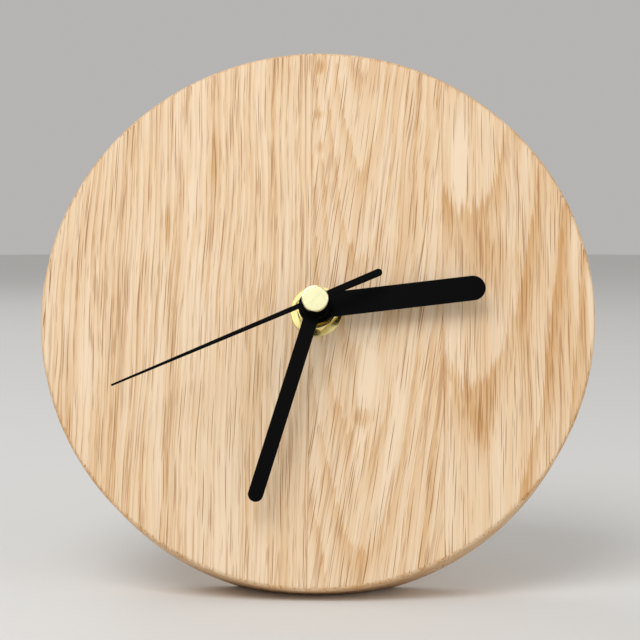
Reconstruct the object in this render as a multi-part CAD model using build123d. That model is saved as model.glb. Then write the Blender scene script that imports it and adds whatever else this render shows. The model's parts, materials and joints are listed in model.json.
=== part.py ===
from build123d import *
from math import cos, radians, sin, sqrt, tan
import os

# A round oak desk clock that leans back on a flat sawn in its rim and on a dowel leg.
# Every piece is drawn in the dial frame: x to the right, y up the face, z out of the face,
# zero at the middle of the face. place() then leans it back and stands it on the table.
# Lengths are in millimetres and angles in degrees. Hand angles run clockwise from 12.
# A depth is counted from the inner face of the movement's front wall towards the back.

# Disc of three boards glued edge to edge
disc_diameter = 150.0
disc_thickness = 20.0
disc_edge_round = 1.2
disc_back_chamfer = 0.8
lean_angle = 18.0
flat_setback = 10.0
left_glue_line_x = -1.8
right_glue_line_x = 34.1
wood_web = 4.0
pocket_gap = 0.5
bush_hole_gap = 0.3

# Dowel leg
leg_diameter = 12.0
leg_above_rim = 25.0
leg_hole_depth = 13.0
leg_foot_length = 5.0
leg_end_chamfer = 0.8
glue_gap = 0.05

# Movement case
case_wall = 1.2
case_corner = 3.0
cover_gap = 0.1
lip_thickness = 0.8
lip_depth = 2.6
catch_length = 5.0
catch_height = 1.4
catch_depth = 0.7
catch_gap = 0.2
catch_places = (-4.0, 16.0)
post_radius = 1.8
post_pin_radius = 0.8
post_inset = 4.5
lower_post_y = -8.3
upper_post_y = 15.0

# Brass parts and the rubber ring that clamp the movement in the disc
bush_radius = 4.0
bush_flange_radius = 5.2
bush_flange_thickness = 0.7
bush_reach = 3.2
washer_radius = 7.0
washer_thickness = 0.5
nut_across_flats = 10.4
nut_thickness = 2.0
nut_corner_angle = -76.0
nut_chamfer_angle = 30.0
thread_gap = 0.08
gasket_radius = 14.0
gasket_thickness = 1.0

# Hands
hour_hand_angle = 83.0
hour_hand_length = 45.6
hour_hand_width = 6.8
hour_hub_radius = 4.8
hour_hand_level = 5.3
minute_hand_angle = 196.4
minute_hand_length = 55.2
minute_hand_width = 4.0
minute_hub_radius = 4.1
minute_hand_level = 8.3
second_hand_angle = 246.25
second_hand_length = 57.9
second_hand_root_width = 1.42
second_hand_tip_width = 0.5
second_tail_length = 19.2
second_tail_root_width = 1.75
second_tail_end_width = 2.05
second_hand_level = 12.75
hand_thickness = 0.4
collet_height = 1.1
collet_wall = 0.7
cap_radius = 3.55
cap_height = 0.8
cap_edge_chamfer = 0.25
cap_stem_radius = 1.0
cap_stem_length = 3.9
cap_bore_depth = 0.4

# Pipes and arbors, from the inside out
second_arbor_radius = 0.55
minute_pipe_radius = 1.85
minute_flat_half_width = 1.4
minute_pipe_stand = 0.2
hour_pipe_radius = 2.75
hour_shoulder_radius = 3.6
running_gap = 0.08
fit_gap = 0.02
end_play = 0.2
pivot_radius = 0.35
pivot_length = 1.6
setting_arbor_radius = 0.8

# Gear train
train_module = 0.25
rotor_module = 0.28
hour_module = 0.30
rotor_leaves = 8
intermediate_teeth = 40
intermediate_leaves = 10
second_teeth = 60
second_leaves = 8
third_teeth = 60
third_leaves = 8
centre_teeth = 64
cannon_leaves = 16
motion_teeth = 48
motion_leaves = 12
hour_teeth = 48
third_angle = 160.0
motion_angle = 20.0
intermediate_angle = 97.0
rotor_angle = 55.0
wheel_thickness = 0.8
layer_gap = 0.3
clutch_gap = 0.05
clutch_rim_thickness = 0.5
wheel_hub_radius = 1.9
small_hub_radius = 1.0
lightening_hole_radius = 1.5
lightening_holes = 5
bearing_boss_radius = 1.4
third_boss_radius = 0.7
wheel_addendum_share = 0.95
leaf_addendum_share = 0.75
dedendum_share = 1.25
wheel_root_share = 0.62
wheel_tip_share = 0.22
leaf_root_share = 0.46
leaf_tip_share = 0.22

# Middle plate and stepping motor
plate_thickness = 1.0
plate_gap = 1.2
plate_top_y = 16.8
plate_bottom_y = -10.6
plate_corner = 2.0
pin_stand = 0.6
magnet_radius = 2.6
magnet_height = 1.3
magnet_bore_radius = 1.0
stator_thickness = 0.8
stator_bar_width = 3.6
stator_leg_width = 3.2
stator_leg_x = 13.0
stator_ring_radius = 4.0
stator_bore_radius = 3.0
stator_notch_radius = 0.3
stator_pin_radius = 0.6
coil_y = 22.0
core_width = 3.0
bobbin_length = 20.0
bobbin_wall = 0.6
bobbin_flange_side = 7.6
bobbin_flange_thickness = 0.8
coil_back_gap = 2.0
winding_radius = 3.4

# Circuit board
board_left_x = 12.8
board_edge_gap = 1.8
board_bottom_y = -6.0
board_top_y = 11.0
board_thickness = 0.8
chip_inset = 4.8
chip_y = 0.5
chip_radius = 2.8
chip_height = 0.9
crystal_inset = 2.6
crystal_gap = 0.3
crystal_length = 6.0
crystal_radius = 1.0

# Battery, an ordinary round cell, and its spring contacts
battery_radius = 7.1
battery_length = 50.5
battery_terminal_radius = 2.6
battery_terminal_length = 1.3
battery_edge_chamfer = 0.4
battery_side_gap = 0.2
battery_front_gap = 0.15
contact_thickness = 0.3
contact_inset = 2.6
contact_front_depth = 2.0
contact_back_depth = 12.0
contact_tab_height = 3.2
contact_foot_width = 2.4
contact_foot_overlap = 1.6
leaf_bow = 2.5
leaf_chord = 7.0
leaf_height = 6.0
negative_foot_x = 15.0

# Setting knob
knob_radius = 4.0
knob_height = 3.0
knob_gap = 0.3
knob_flutes = 14
knob_flute_radius = 0.5
knob_grip_depth = 2.2

# One overrun serves every cut
overrun = 1.0

# Places worked out from the sizes above
disc_radius = disc_diameter / 2
leg_below_centre = disc_radius - leg_above_rim
back_z = -disc_thickness
pocket_floor_z = -wood_web
case_front_z = pocket_floor_z - gasket_thickness
inner_front_z = case_front_z - case_wall
inner_half = (battery_length + leaf_bow) / 2 + contact_thickness
case_half = inner_half + case_wall
inner_corner = case_corner - case_wall
battery_y = -inner_half + battery_side_gap + battery_radius
bay_wall_low_y = battery_y + battery_radius + battery_side_gap
bay_wall_high_y = bay_wall_low_y + case_wall
post_x = case_half - post_inset
board_right_x = inner_half - board_edge_gap
chip_x = board_left_x + chip_inset
crystal_x = board_right_x - crystal_inset
crystal_bottom_y = chip_y + chip_radius + crystal_gap

hour_wheel_front = end_play
hour_wheel_back = hour_wheel_front + wheel_thickness
cannon_front = hour_wheel_back + layer_gap
motion_wheel_front = cannon_front + end_play
motion_wheel_back = motion_wheel_front + wheel_thickness
cannon_back = motion_wheel_back + layer_gap
centre_wheel_front = cannon_back + clutch_gap
centre_wheel_back = centre_wheel_front + wheel_thickness
minute_arbor_back = centre_wheel_back + clutch_gap + clutch_rim_thickness
third_pinion_front = centre_wheel_front - layer_gap
third_wheel_front = minute_arbor_back + layer_gap
third_wheel_back = third_wheel_front + wheel_thickness
second_pinion_front = minute_arbor_back + end_play
plate_front = third_wheel_back + layer_gap + end_play
plate_back = plate_front + plate_thickness
stator_back = plate_back + stator_thickness
core_back = stator_back + stator_thickness
second_wheel_front = plate_back + layer_gap
second_wheel_back = second_wheel_front + wheel_thickness
magnet_front = plate_back + end_play
magnet_back = magnet_front + magnet_height
intermediate_wheel_front = max(magnet_back, second_wheel_back) + layer_gap
intermediate_wheel_back = intermediate_wheel_front + wheel_thickness
hub_back = intermediate_wheel_back + layer_gap
bearing_front = hub_back + end_play
board_back = plate_back + board_thickness
coil_depth = (stator_back + core_back) / 2
cover_depth = coil_depth + bobbin_flange_side / 2 + coil_back_gap
case_end_depth = cover_depth + case_wall

centre_module = train_module * (second_leaves + third_teeth) / (third_leaves + centre_teeth)
cannon_module = hour_module * (motion_leaves + hour_teeth) / (cannon_leaves + motion_teeth)


def reach(distance, angle, start=(0, 0)):
    """Point at a distance and an angle, counted from the x axis, from a start point."""
    return (start[0] + distance * cos(radians(angle)), start[1] + distance * sin(radians(angle)))


axis_centre = (0, 0)
third_distance = train_module * (second_leaves + third_teeth) / 2
motion_distance = hour_module * (motion_leaves + hour_teeth) / 2
intermediate_distance = train_module * (intermediate_leaves + second_teeth) / 2
rotor_distance = rotor_module * (rotor_leaves + intermediate_teeth) / 2
axis_third = reach(third_distance, third_angle)
axis_motion = reach(motion_distance, motion_angle)
axis_intermediate = reach(intermediate_distance, intermediate_angle)
axis_rotor = reach(rotor_distance, rotor_angle, axis_intermediate)


# Building blocks

def depth_z(depth):
    """Height in the dial frame of a depth inside the movement."""
    return inner_front_z - depth


def disc_between(radius, low, high, at=(0, 0)):
    """Cylinder along z between two heights."""
    upright = (Align.CENTER, Align.CENTER, Align.MIN)
    return Pos(at[0], at[1], low) * Cylinder(radius, high - low, align=upright)


def disc_in(radius, front, back, at=(0, 0)):
    """Cylinder between two depths inside the movement."""
    return disc_between(radius, depth_z(back), depth_z(front), at)


def block_between(x_low, x_high, y_low, y_high, z_low, z_high):
    """Box between two corners."""
    size = (x_high - x_low, y_high - y_low, z_high - z_low)
    return Pos(x_low, y_low, z_low) * Box(*size, align=(Align.MIN, Align.MIN, Align.MIN))


def block_in(x_low, x_high, y_low, y_high, front, back):
    """Box between two depths inside the movement."""
    return block_between(x_low, x_high, y_low, y_high, depth_z(back), depth_z(front))


def slab(outline, low, high):
    """Flat outline raised between two heights."""
    return extrude(Pos(0, 0, low) * outline, amount=high - low)


def slab_in(outline, front, back):
    """Flat outline between two depths inside the movement."""
    return slab(outline, depth_z(back), depth_z(front))


def toothed_outline(teeth, module, tooth_angle, addendum_share, root_share, tip_share):
    """Outline of a toothed wheel with the middle of one tooth at a given angle."""
    pitch_radius = teeth * module / 2
    root_radius = pitch_radius - dedendum_share * module
    tip_radius = pitch_radius + addendum_share * module
    half_pitch = 180 / teeth
    corners = (
        (root_radius, -root_share * half_pitch),
        (tip_radius, -tip_share * half_pitch),
        (tip_radius, tip_share * half_pitch),
        (root_radius, root_share * half_pitch),
    )
    points = []
    for tooth in range(teeth):
        middle = tooth_angle + 2 * half_pitch * tooth
        points += [reach(radius, middle + turn) for radius, turn in corners]
    return make_face(Polyline(*points, close=True))


def wheel_outline(teeth, module, mate_angle, hub_radius):
    """Wheel with a gap between two teeth facing its pinion, and lightening holes where they fit."""
    outline = toothed_outline(
        teeth, module, mate_angle + 180 / teeth, wheel_addendum_share, wheel_root_share, wheel_tip_share
    )
    rim_radius = teeth * module / 2 - dedendum_share * module
    ring_radius = (rim_radius + hub_radius) / 2
    for hole in range(lightening_holes):
        centre = reach(ring_radius, mate_angle + 360 * hole / lightening_holes)
        outline -= Pos(*centre) * Circle(min(lightening_hole_radius, (rim_radius - hub_radius) / 3))
    return outline


def pinion_outline(leaves, module, mate_angle):
    """Pinion with one leaf facing its wheel."""
    return toothed_outline(leaves, module, mate_angle, leaf_addendum_share, leaf_root_share, leaf_tip_share)


def toothed_in(outline, at, front, back):
    """Toothed outline on its own axis between two depths."""
    return Pos(at[0], at[1], 0) * slab_in(outline, front, back)


def round_corner_outline(x_low, x_high, y_low, y_high, radius):
    """Rectangle with rounded corners."""
    outline = Pos((x_low + x_high) / 2, (y_low + y_high) / 2) * Rectangle(x_high - x_low, y_high - y_low)
    return fillet(outline.vertices(), radius)


# Table frame

centre_height = disc_radius * cos(radians(lean_angle)) + flat_setback * sin(radians(lean_angle))
flat_rise = (disc_thickness - flat_setback) * tan(radians(lean_angle))
flat_front_y = flat_setback * cos(radians(lean_angle)) - disc_radius * sin(radians(lean_angle))
flat_back_y = disc_thickness * cos(radians(lean_angle)) - (disc_radius - flat_rise) * sin(radians(lean_angle))
dial_plane = Plane(
    origin=(0, -(flat_front_y + flat_back_y) / 2, centre_height),
    x_dir=(1, 0, 0),
    z_dir=(0, -cos(radians(lean_angle)), sin(radians(lean_angle))),
)


def place(shape):
    """Lean a piece back and stand it on the table."""
    return dial_plane.location * shape


def cut_at_table(shape):
    """Saw away what would reach below the table, on a piece still in the dial frame."""
    side = disc_diameter + disc_thickness
    below = Pos(0, 0, -side) * Box(2 * side, 2 * side, 2 * side)
    return shape - dial_plane.location.inverse() * below


# Wood

def leg_touch_z():
    """Height in the dial frame at which the underside of the leg meets the table."""
    lowest_y = -leg_below_centre - leg_diameter / 2
    return -(centre_height + lowest_y * cos(radians(lean_angle))) / sin(radians(lean_angle))


def whole_disc():
    """Turned disc with its pocket, bush hole, leg hole and base flat."""
    blank = disc_between(disc_radius, back_z, 0)
    blank = fillet(blank.faces().sort_by(Axis.Z)[-1].edges(), disc_edge_round)
    blank = chamfer(blank.faces().sort_by(Axis.Z)[0].edges(), disc_back_chamfer)
    pocket_half = case_half + pocket_gap
    pocket_corner = case_corner + pocket_gap
    pocket = round_corner_outline(-pocket_half, pocket_half, -pocket_half, pocket_half, pocket_corner)
    blank -= slab(pocket, back_z - overrun, pocket_floor_z)
    blank -= disc_between(bush_radius + bush_hole_gap, pocket_floor_z - overrun, overrun)
    leg_hole_radius = leg_diameter / 2 + glue_gap
    leg_hole_floor = back_z + leg_hole_depth
    blank -= disc_between(leg_hole_radius, back_z - overrun, leg_hole_floor, (0, -leg_below_centre))
    return cut_at_table(blank)


def oak_boards():
    """The three boards that the disc is glued up from."""
    disc = whole_disc()
    reach_out = disc_radius + overrun
    edges = (-reach_out, left_glue_line_x, right_glue_line_x, reach_out)
    names = ("oak_board_left", "oak_board_middle", "oak_board_right")
    boards = {}
    for name, low, high in zip(names, edges, edges[1:]):
        boards[name] = disc & block_between(low, high, -reach_out, reach_out, back_z - overrun, overrun)
    return boards


def prop_leg():
    """Dowel glued into the back, its end trimmed level with the table."""
    leg_end = leg_touch_z() - leg_foot_length
    leg = disc_between(leg_diameter / 2, leg_end, back_z + leg_hole_depth, (0, -leg_below_centre))
    leg = chamfer(leg.faces().sort_by(Axis.Z)[0].edges(), leg_end_chamfer)
    return cut_at_table(leg)


# Brass and rubber round the bush

def threaded_bush():
    """Tube with a flange that sits in the front wall of the case."""
    tube = disc_between(bush_radius, inner_front_z, bush_reach)
    tube += disc_between(bush_flange_radius, inner_front_z, inner_front_z + bush_flange_thickness)
    return tube - disc_between(hour_pipe_radius + running_gap, inner_front_z - overrun, bush_reach + overrun)


def washer():
    ring = disc_between(washer_radius, 0, washer_thickness)
    return ring - disc_between(bush_radius + thread_gap, -overrun, washer_thickness + overrun)


def hex_nut():
    """Hexagon nut with its corners turned off on both faces."""
    corner_radius = nut_across_flats / sqrt(3)
    low = washer_thickness
    high = low + nut_thickness
    outline = Rot(0, 0, nut_corner_angle) * RegularPolygon(corner_radius, 6)
    slope = tan(radians(nut_chamfer_angle))
    lathe = Plane.XZ * make_face(Polyline(
        (0, low),
        (nut_across_flats / 2, low),
        (corner_radius, low + (corner_radius - nut_across_flats / 2) * slope),
        (corner_radius, high - (corner_radius - nut_across_flats / 2) * slope),
        (nut_across_flats / 2, high),
        (0, high),
        close=True,
    ))
    nut = slab(outline, low, high) & revolve(lathe, Axis.Z)
    return nut - disc_between(bush_radius + thread_gap, low - overrun, high + overrun)


def gasket():
    ring = disc_between(gasket_radius, case_front_z, pocket_floor_z)
    return ring - disc_between(bush_radius + bush_hole_gap, case_front_z - overrun, pocket_floor_z + overrun)


# Hands

def bar_outline(length, width):
    """Straight bar from the axis to a round end, pointing at 12."""
    bar = Pos(0, (length - width / 2) / 2) * Rectangle(width, length - width / 2)
    return bar + Pos(0, length - width / 2) * Circle(width / 2)


def point_hand(outline, angle):
    """Turn an outline that points at 12 to a hand angle."""
    return Rot(0, 0, -angle) * outline


def hour_hand():
    outline = point_hand(bar_outline(hour_hand_length, hour_hand_width), hour_hand_angle)
    hand = slab(outline + Circle(hour_hub_radius), hour_hand_level, hour_hand_level + hand_thickness)
    collet_radius = hour_pipe_radius + collet_wall
    hand += disc_between(collet_radius, hour_hand_level - collet_height, hour_hand_level)
    bore = disc_between(
        hour_pipe_radius + fit_gap, hour_hand_level - collet_height - overrun, hour_hand_level + overrun
    )
    return hand - bore


def minute_seat(grow, low, high):
    """End of the minute pipe with its two flats, or the hole that fits it."""
    flat_half = minute_flat_half_width + grow
    radius = minute_pipe_radius + grow
    body = disc_between(radius, low, high) & block_between(-radius, radius, -flat_half, flat_half, low, high)
    return Rot(0, 0, -minute_hand_angle) * body


def minute_hand():
    outline = point_hand(bar_outline(minute_hand_length, minute_hand_width), minute_hand_angle)
    hand = slab(outline + Circle(minute_hub_radius), minute_hand_level, minute_hand_level + hand_thickness)
    low = minute_hand_level - collet_height
    hand += disc_between(minute_pipe_radius + collet_wall, low, minute_hand_level)
    return hand - minute_seat(fit_gap, low - overrun, minute_hand_level + hand_thickness + overrun)


def second_hand():
    """Needle with a counterweight tail that widens to a round end."""
    tail_centre = second_tail_length - second_tail_end_width / 2
    needle = make_face(Polyline(
        (-second_hand_root_width / 2, 0),
        (-second_hand_tip_width / 2, second_hand_length),
        (second_hand_tip_width / 2, second_hand_length),
        (second_hand_root_width / 2, 0),
        close=True,
    ))
    tail = make_face(Polyline(
        (-second_tail_root_width / 2, 0),
        (second_tail_root_width / 2, 0),
        (second_tail_end_width / 2, -tail_centre),
        (-second_tail_end_width / 2, -tail_centre),
        close=True,
    ))
    eye = Circle(cap_stem_radius + collet_wall)
    outline = needle + tail + Pos(0, -tail_centre) * Circle(second_tail_end_width / 2) + eye
    outline -= Circle(cap_stem_radius + fit_gap)
    return slab(point_hand(outline, second_hand_angle), second_hand_level, second_hand_level + hand_thickness)


def second_hand_boss():
    """Turned cap with the stem that presses on the second arbor."""
    seat = second_hand_level + hand_thickness
    cap = disc_between(cap_radius, seat, seat + cap_height)
    cap = chamfer(cap.faces().sort_by(Axis.Z)[-1].edges(), cap_edge_chamfer)
    cap += disc_between(cap_stem_radius, seat - cap_stem_length, seat)
    return cap - disc_between(
        second_arbor_radius + fit_gap, seat - cap_stem_length - overrun, seat + cap_bore_depth
    )


# Motion work, which carries the hour and minute hands

def hour_wheel():
    """Wheel whose pipe comes out through the bush and holds the hour hand."""
    outline = wheel_outline(hour_teeth, hour_module, motion_angle, hour_shoulder_radius)
    wheel = toothed_in(outline, axis_centre, hour_wheel_front, hour_wheel_back)
    wheel += disc_in(hour_shoulder_radius, end_play / 2, hour_wheel_back)
    wheel += disc_between(hour_pipe_radius, depth_z(hour_wheel_back), hour_hand_level + hand_thickness)
    bore = disc_between(
        minute_pipe_radius + running_gap, depth_z(hour_wheel_back) - overrun, hour_hand_level + overrun
    )
    return wheel - bore


def minute_arbor():
    """Cannon pinion, its pipe with two flats, and the rim that the centre wheel slips on."""
    flat_low = minute_hand_level - collet_height - end_play
    top = minute_hand_level + hand_thickness + minute_pipe_stand
    arbor = toothed_in(
        pinion_outline(cannon_leaves, cannon_module, motion_angle), axis_centre, cannon_front, cannon_back
    )
    arbor += disc_between(minute_pipe_radius, depth_z(cannon_back), flat_low)
    arbor += minute_seat(0, flat_low, top)
    arbor += disc_in(small_hub_radius + fit_gap, cannon_back, minute_arbor_back)
    arbor += disc_in(wheel_hub_radius, minute_arbor_back - clutch_rim_thickness, minute_arbor_back)
    return arbor - disc_between(
        second_arbor_radius + running_gap, depth_z(minute_arbor_back) - overrun, top + overrun
    )


def motion_wheel():
    """Wheel and pinion between the minute and hour wheels, on the long setting arbor."""
    x, y = axis_motion
    back_angle = motion_angle + 180
    wheel_face = wheel_outline(motion_teeth, cannon_module, back_angle, wheel_hub_radius)
    wheel = toothed_in(wheel_face, axis_motion, motion_wheel_front, motion_wheel_back)
    pinion_face = pinion_outline(motion_leaves, hour_module, back_angle)
    wheel += toothed_in(pinion_face, axis_motion, end_play / 2, motion_wheel_front)
    wheel += disc_in(setting_arbor_radius, -pivot_length / 2, end_play / 2, (x, y))
    arbor_end = case_end_depth + knob_gap + knob_grip_depth
    return wheel + disc_in(setting_arbor_radius, motion_wheel_back, arbor_end, (x, y))


# Going train

def centre_wheel():
    """Wheel that drives the minute pipe through a slipping seat."""
    outline = wheel_outline(centre_teeth, centre_module, third_angle, wheel_hub_radius)
    wheel = toothed_in(outline, axis_centre, centre_wheel_front, centre_wheel_back)
    seat_radius = small_hub_radius + running_gap
    return wheel - disc_in(seat_radius, centre_wheel_front - overrun, centre_wheel_back + overrun)


def third_wheel():
    """Wheel and pinion between the second and centre wheels."""
    back_angle = third_angle + 180
    wheel_face = wheel_outline(third_teeth, train_module, back_angle, wheel_hub_radius)
    wheel = toothed_in(wheel_face, axis_third, third_wheel_front, third_wheel_back)
    pinion_face = pinion_outline(third_leaves, centre_module, back_angle)
    wheel += toothed_in(pinion_face, axis_third, third_pinion_front, third_wheel_front)
    wheel += disc_in(small_hub_radius, third_wheel_back, plate_front - end_play, axis_third)
    wheel += disc_in(pivot_radius, third_pinion_front - pivot_length, third_pinion_front, axis_third)
    return wheel + disc_in(pivot_radius, plate_front - end_play, plate_back - end_play, axis_third)


def second_wheel():
    """Wheel and pinion moulded as one, pressed on the second arbor."""
    wheel_face = wheel_outline(second_teeth, train_module, intermediate_angle, wheel_hub_radius)
    wheel = toothed_in(wheel_face, axis_centre, second_wheel_front, second_wheel_back)
    pinion_face = pinion_outline(second_leaves, train_module, third_angle)
    wheel += toothed_in(pinion_face, axis_centre, second_pinion_front, second_wheel_front)
    wheel += disc_in(small_hub_radius, second_wheel_back, hub_back)
    return wheel - disc_in(second_arbor_radius + fit_gap, second_pinion_front - overrun, hub_back + overrun)


def second_arbor():
    """Steel pin from the rear bearing to the cap of the second hand."""
    top = second_hand_level + hand_thickness + cap_bore_depth - end_play
    pin = disc_between(second_arbor_radius, depth_z(bearing_front), top)
    return pin + disc_in(pivot_radius, bearing_front, bearing_front + pivot_length)


def intermediate_wheel():
    """Wheel and pinion between the rotor and the second wheel."""
    wheel_face = wheel_outline(intermediate_teeth, rotor_module, rotor_angle, small_hub_radius)
    wheel = toothed_in(wheel_face, axis_intermediate, intermediate_wheel_front, intermediate_wheel_back)
    pinion_face = pinion_outline(intermediate_leaves, train_module, intermediate_angle + 180)
    wheel += toothed_in(pinion_face, axis_intermediate, plate_back + end_play, intermediate_wheel_front)
    wheel += disc_in(small_hub_radius, intermediate_wheel_back, hub_back, axis_intermediate)
    wheel += disc_in(pivot_radius, plate_front, plate_back + end_play, axis_intermediate)
    return wheel + disc_in(pivot_radius, hub_back, bearing_front + pivot_length, axis_intermediate)


def rotor():
    """Pinion on the spindle that carries the magnet."""
    pinion_face = pinion_outline(rotor_leaves, rotor_module, rotor_angle + 180)
    body = toothed_in(pinion_face, axis_rotor, magnet_back, hub_back)
    body += disc_in(magnet_bore_radius - fit_gap, magnet_front, magnet_back, axis_rotor)
    body += disc_in(pivot_radius, plate_front, magnet_front, axis_rotor)
    return body + disc_in(pivot_radius, hub_back, bearing_front + pivot_length, axis_rotor)


def rotor_magnet():
    ring = disc_in(magnet_radius, magnet_front, magnet_back, axis_rotor)
    return ring - disc_in(magnet_bore_radius, magnet_front - overrun, magnet_back + overrun, axis_rotor)


# Fixed parts of the motor

def stator():
    """Flat yoke: a bar with the rotor's bore, and a leg at each end that reaches the coil."""
    x, y = axis_rotor
    leg_half = stator_leg_width / 2
    end_y = coil_y + leg_half
    bar_half = stator_bar_width / 2
    bar_reach = stator_leg_x + leg_half
    outline = Pos(0, y) * Rectangle(2 * bar_reach, stator_bar_width) + Pos(x, y) * Circle(stator_ring_radius)
    leg_low = y - bar_half
    for side in (-1, 1):
        leg = Rectangle(stator_leg_width, end_y - leg_low)
        outline += Pos(side * stator_leg_x, (leg_low + end_y) / 2) * leg
        outline -= Pos(side * stator_leg_x, coil_y) * Circle(stator_pin_radius + fit_gap)
    outline -= Pos(x, y) * Circle(stator_bore_radius)
    for notch_angle in (rotor_angle, rotor_angle + 180):
        outline -= Pos(*reach(stator_bore_radius, notch_angle, axis_rotor)) * Circle(stator_notch_radius)
    return slab_in(outline, plate_back, stator_back)


def coil_core():
    """Strip that joins the two legs through the bobbin."""
    half = stator_leg_x + stator_leg_width / 2
    outline = Pos(0, coil_y) * Rectangle(2 * half, core_width)
    for side in (-1, 1):
        outline -= Pos(side * stator_leg_x, coil_y) * Circle(stator_pin_radius + fit_gap)
    return slab_in(outline, stator_back, core_back)


def coil_block(x_low, x_high, half_y, half_z):
    """Block about the middle line of the coil."""
    return block_in(x_low, x_high, coil_y - half_y, coil_y + half_y, coil_depth - half_z, coil_depth + half_z)


def coil_bobbin():
    """Square spool with a flange at each end, threaded on the core."""
    half = bobbin_length / 2
    slot_y = core_width / 2 + fit_gap
    slot_z = stator_thickness / 2 + fit_gap
    flange_half = bobbin_flange_side / 2
    spool = coil_block(-half, half, slot_y + bobbin_wall, slot_z + bobbin_wall)
    for side in (-1, 1):
        edges = sorted((side * half, side * (half - bobbin_flange_thickness)))
        spool += coil_block(*edges, flange_half, flange_half)
    return spool - coil_block(-half - overrun, half + overrun, slot_y, slot_z)


def coil_winding():
    """Copper winding between the flanges, as one round body."""
    half = bobbin_length / 2 - bobbin_flange_thickness
    tube_y = core_width / 2 + 2 * fit_gap + bobbin_wall
    tube_z = stator_thickness / 2 + 2 * fit_gap + bobbin_wall
    body = Pos(0, coil_y, depth_z(coil_depth)) * (Rot(0, 90, 0) * Cylinder(winding_radius, 2 * half))
    return body - coil_block(-half - overrun, half + overrun, tube_y, tube_z)


# Case

def post_places():
    """Middles of the four posts that carry the middle plate."""
    return [(side * post_x, y) for side in (-1, 1) for y in (lower_post_y, upper_post_y)]


def catch_blocks(grow):
    """Catches on the cover's lip, or the windows in the side walls that they spring into."""
    back = cover_depth - lip_depth + catch_height + catch_depth
    half = catch_length / 2 + grow
    root = inner_half - lip_thickness / 2 - cover_gap
    blocks = []
    for side in (-1, 1):
        edges = sorted((side * root, side * (inner_half + catch_depth + grow)))
        for y in catch_places:
            blocks.append(block_in(*edges, y - half, y + half, back - catch_height - grow, back + grow))
    return blocks


def front_case():
    """Front shell: gear room above, battery bay below, posts and bearings inside."""
    outer = round_corner_outline(-case_half, case_half, -case_half, case_half, case_corner)
    shell = slab(outer, depth_z(case_end_depth), case_front_z)
    gear_room = round_corner_outline(-inner_half, inner_half, bay_wall_high_y, inner_half, inner_corner)
    shell -= slab_in(gear_room, 0, case_end_depth + overrun)
    bay = round_corner_outline(-inner_half, inner_half, -inner_half, bay_wall_low_y, inner_corner)
    shell -= slab_in(bay, 0, case_end_depth + overrun)
    beyond = case_half + overrun
    shell -= block_in(-beyond, beyond, bay_wall_low_y, beyond, cover_depth, case_end_depth + overrun)
    for x, y in post_places():
        shell += disc_in(post_radius, 0, plate_front, (x, y))
        shell += disc_in(post_pin_radius, plate_front, plate_back + pin_stand, (x, y))
    for side in (-1, 1):
        shell += disc_in(stator_leg_width / 2, 0, plate_back, (side * stator_leg_x, coil_y))
        shell += disc_in(stator_pin_radius, plate_back, core_back + pin_stand, (side * stator_leg_x, coil_y))
        edges = sorted((side * inner_half, side * (inner_half - inner_corner)))
        low, high = bay_wall_low_y - inner_corner, bay_wall_high_y + inner_corner
        shell -= block_in(*edges, low, high, board_back - fit_gap, case_end_depth + overrun)
    shell += disc_in(third_boss_radius, 0, third_pinion_front - end_play, axis_third)
    pivot_hole = pivot_radius + running_gap
    shell -= disc_in(pivot_hole, third_pinion_front - pivot_length - end_play, third_pinion_front, axis_third)
    arbor_hole = setting_arbor_radius + running_gap
    shell -= disc_in(arbor_hole, -(pivot_length + end_play) / 2, end_play, axis_motion)
    shell -= disc_between(bush_radius + fit_gap, inner_front_z - overrun, case_front_z + overrun)
    shell -= disc_between(
        bush_flange_radius + fit_gap, inner_front_z - overrun, inner_front_z + bush_flange_thickness
    )
    for window in catch_blocks(catch_gap):
        shell -= window
    return shell


def rear_cover():
    """Back plate of the gear room with its lip, catches and rear bearings."""
    low_y = bay_wall_low_y + cover_gap
    outline = round_corner_outline(-case_half, case_half, low_y - case_corner, case_half, case_corner)
    outline &= Pos(0, low_y + case_half) * Rectangle(4 * case_half, 2 * case_half)
    cover = slab_in(outline, cover_depth, case_end_depth)
    lip_outer = inner_half - cover_gap
    lip_inner = lip_outer - lip_thickness
    lip_low = bay_wall_high_y + contact_inset
    lip = round_corner_outline(-lip_outer, lip_outer, lip_low, lip_outer, inner_corner)
    lip -= Pos(0, (lip_inner - lip_outer) / 2) * Rectangle(2 * lip_inner, lip_inner + lip_outer)
    cover += slab_in(lip, cover_depth - lip_depth, cover_depth)
    for catch in catch_blocks(0):
        cover += catch
    hole_back = bearing_front + pivot_length + end_play
    for axis in (axis_centre, axis_intermediate, axis_rotor):
        cover += disc_in(bearing_boss_radius, bearing_front, cover_depth, axis)
        cover -= disc_in(pivot_radius + running_gap, bearing_front - overrun, hole_back, axis)
    arbor_hole = setting_arbor_radius + running_gap
    return cover - disc_in(arbor_hole, cover_depth - overrun, case_end_depth + overrun, axis_motion)


def middle_plate():
    """Bearing plate between the two halves of the train."""
    half = inner_half - plate_gap
    outline = round_corner_outline(-half, half, plate_bottom_y, plate_top_y, plate_corner)
    for place_xy in post_places():
        outline -= Pos(*place_xy) * Circle(post_pin_radius + fit_gap)
    for axis in (axis_third, axis_intermediate, axis_rotor):
        outline -= Pos(*axis) * Circle(pivot_radius + running_gap)
    outline -= Pos(*axis_motion) * Circle(setting_arbor_radius + running_gap)
    leaf_reach = (second_leaves / 2 + leaf_addendum_share) * train_module
    outline -= Circle(leaf_reach + end_play)
    return slab_in(outline, plate_front, plate_back)


# Circuit and battery

def circuit_board():
    return block_in(board_left_x, board_right_x, board_bottom_y, board_top_y, plate_back, board_back)


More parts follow.
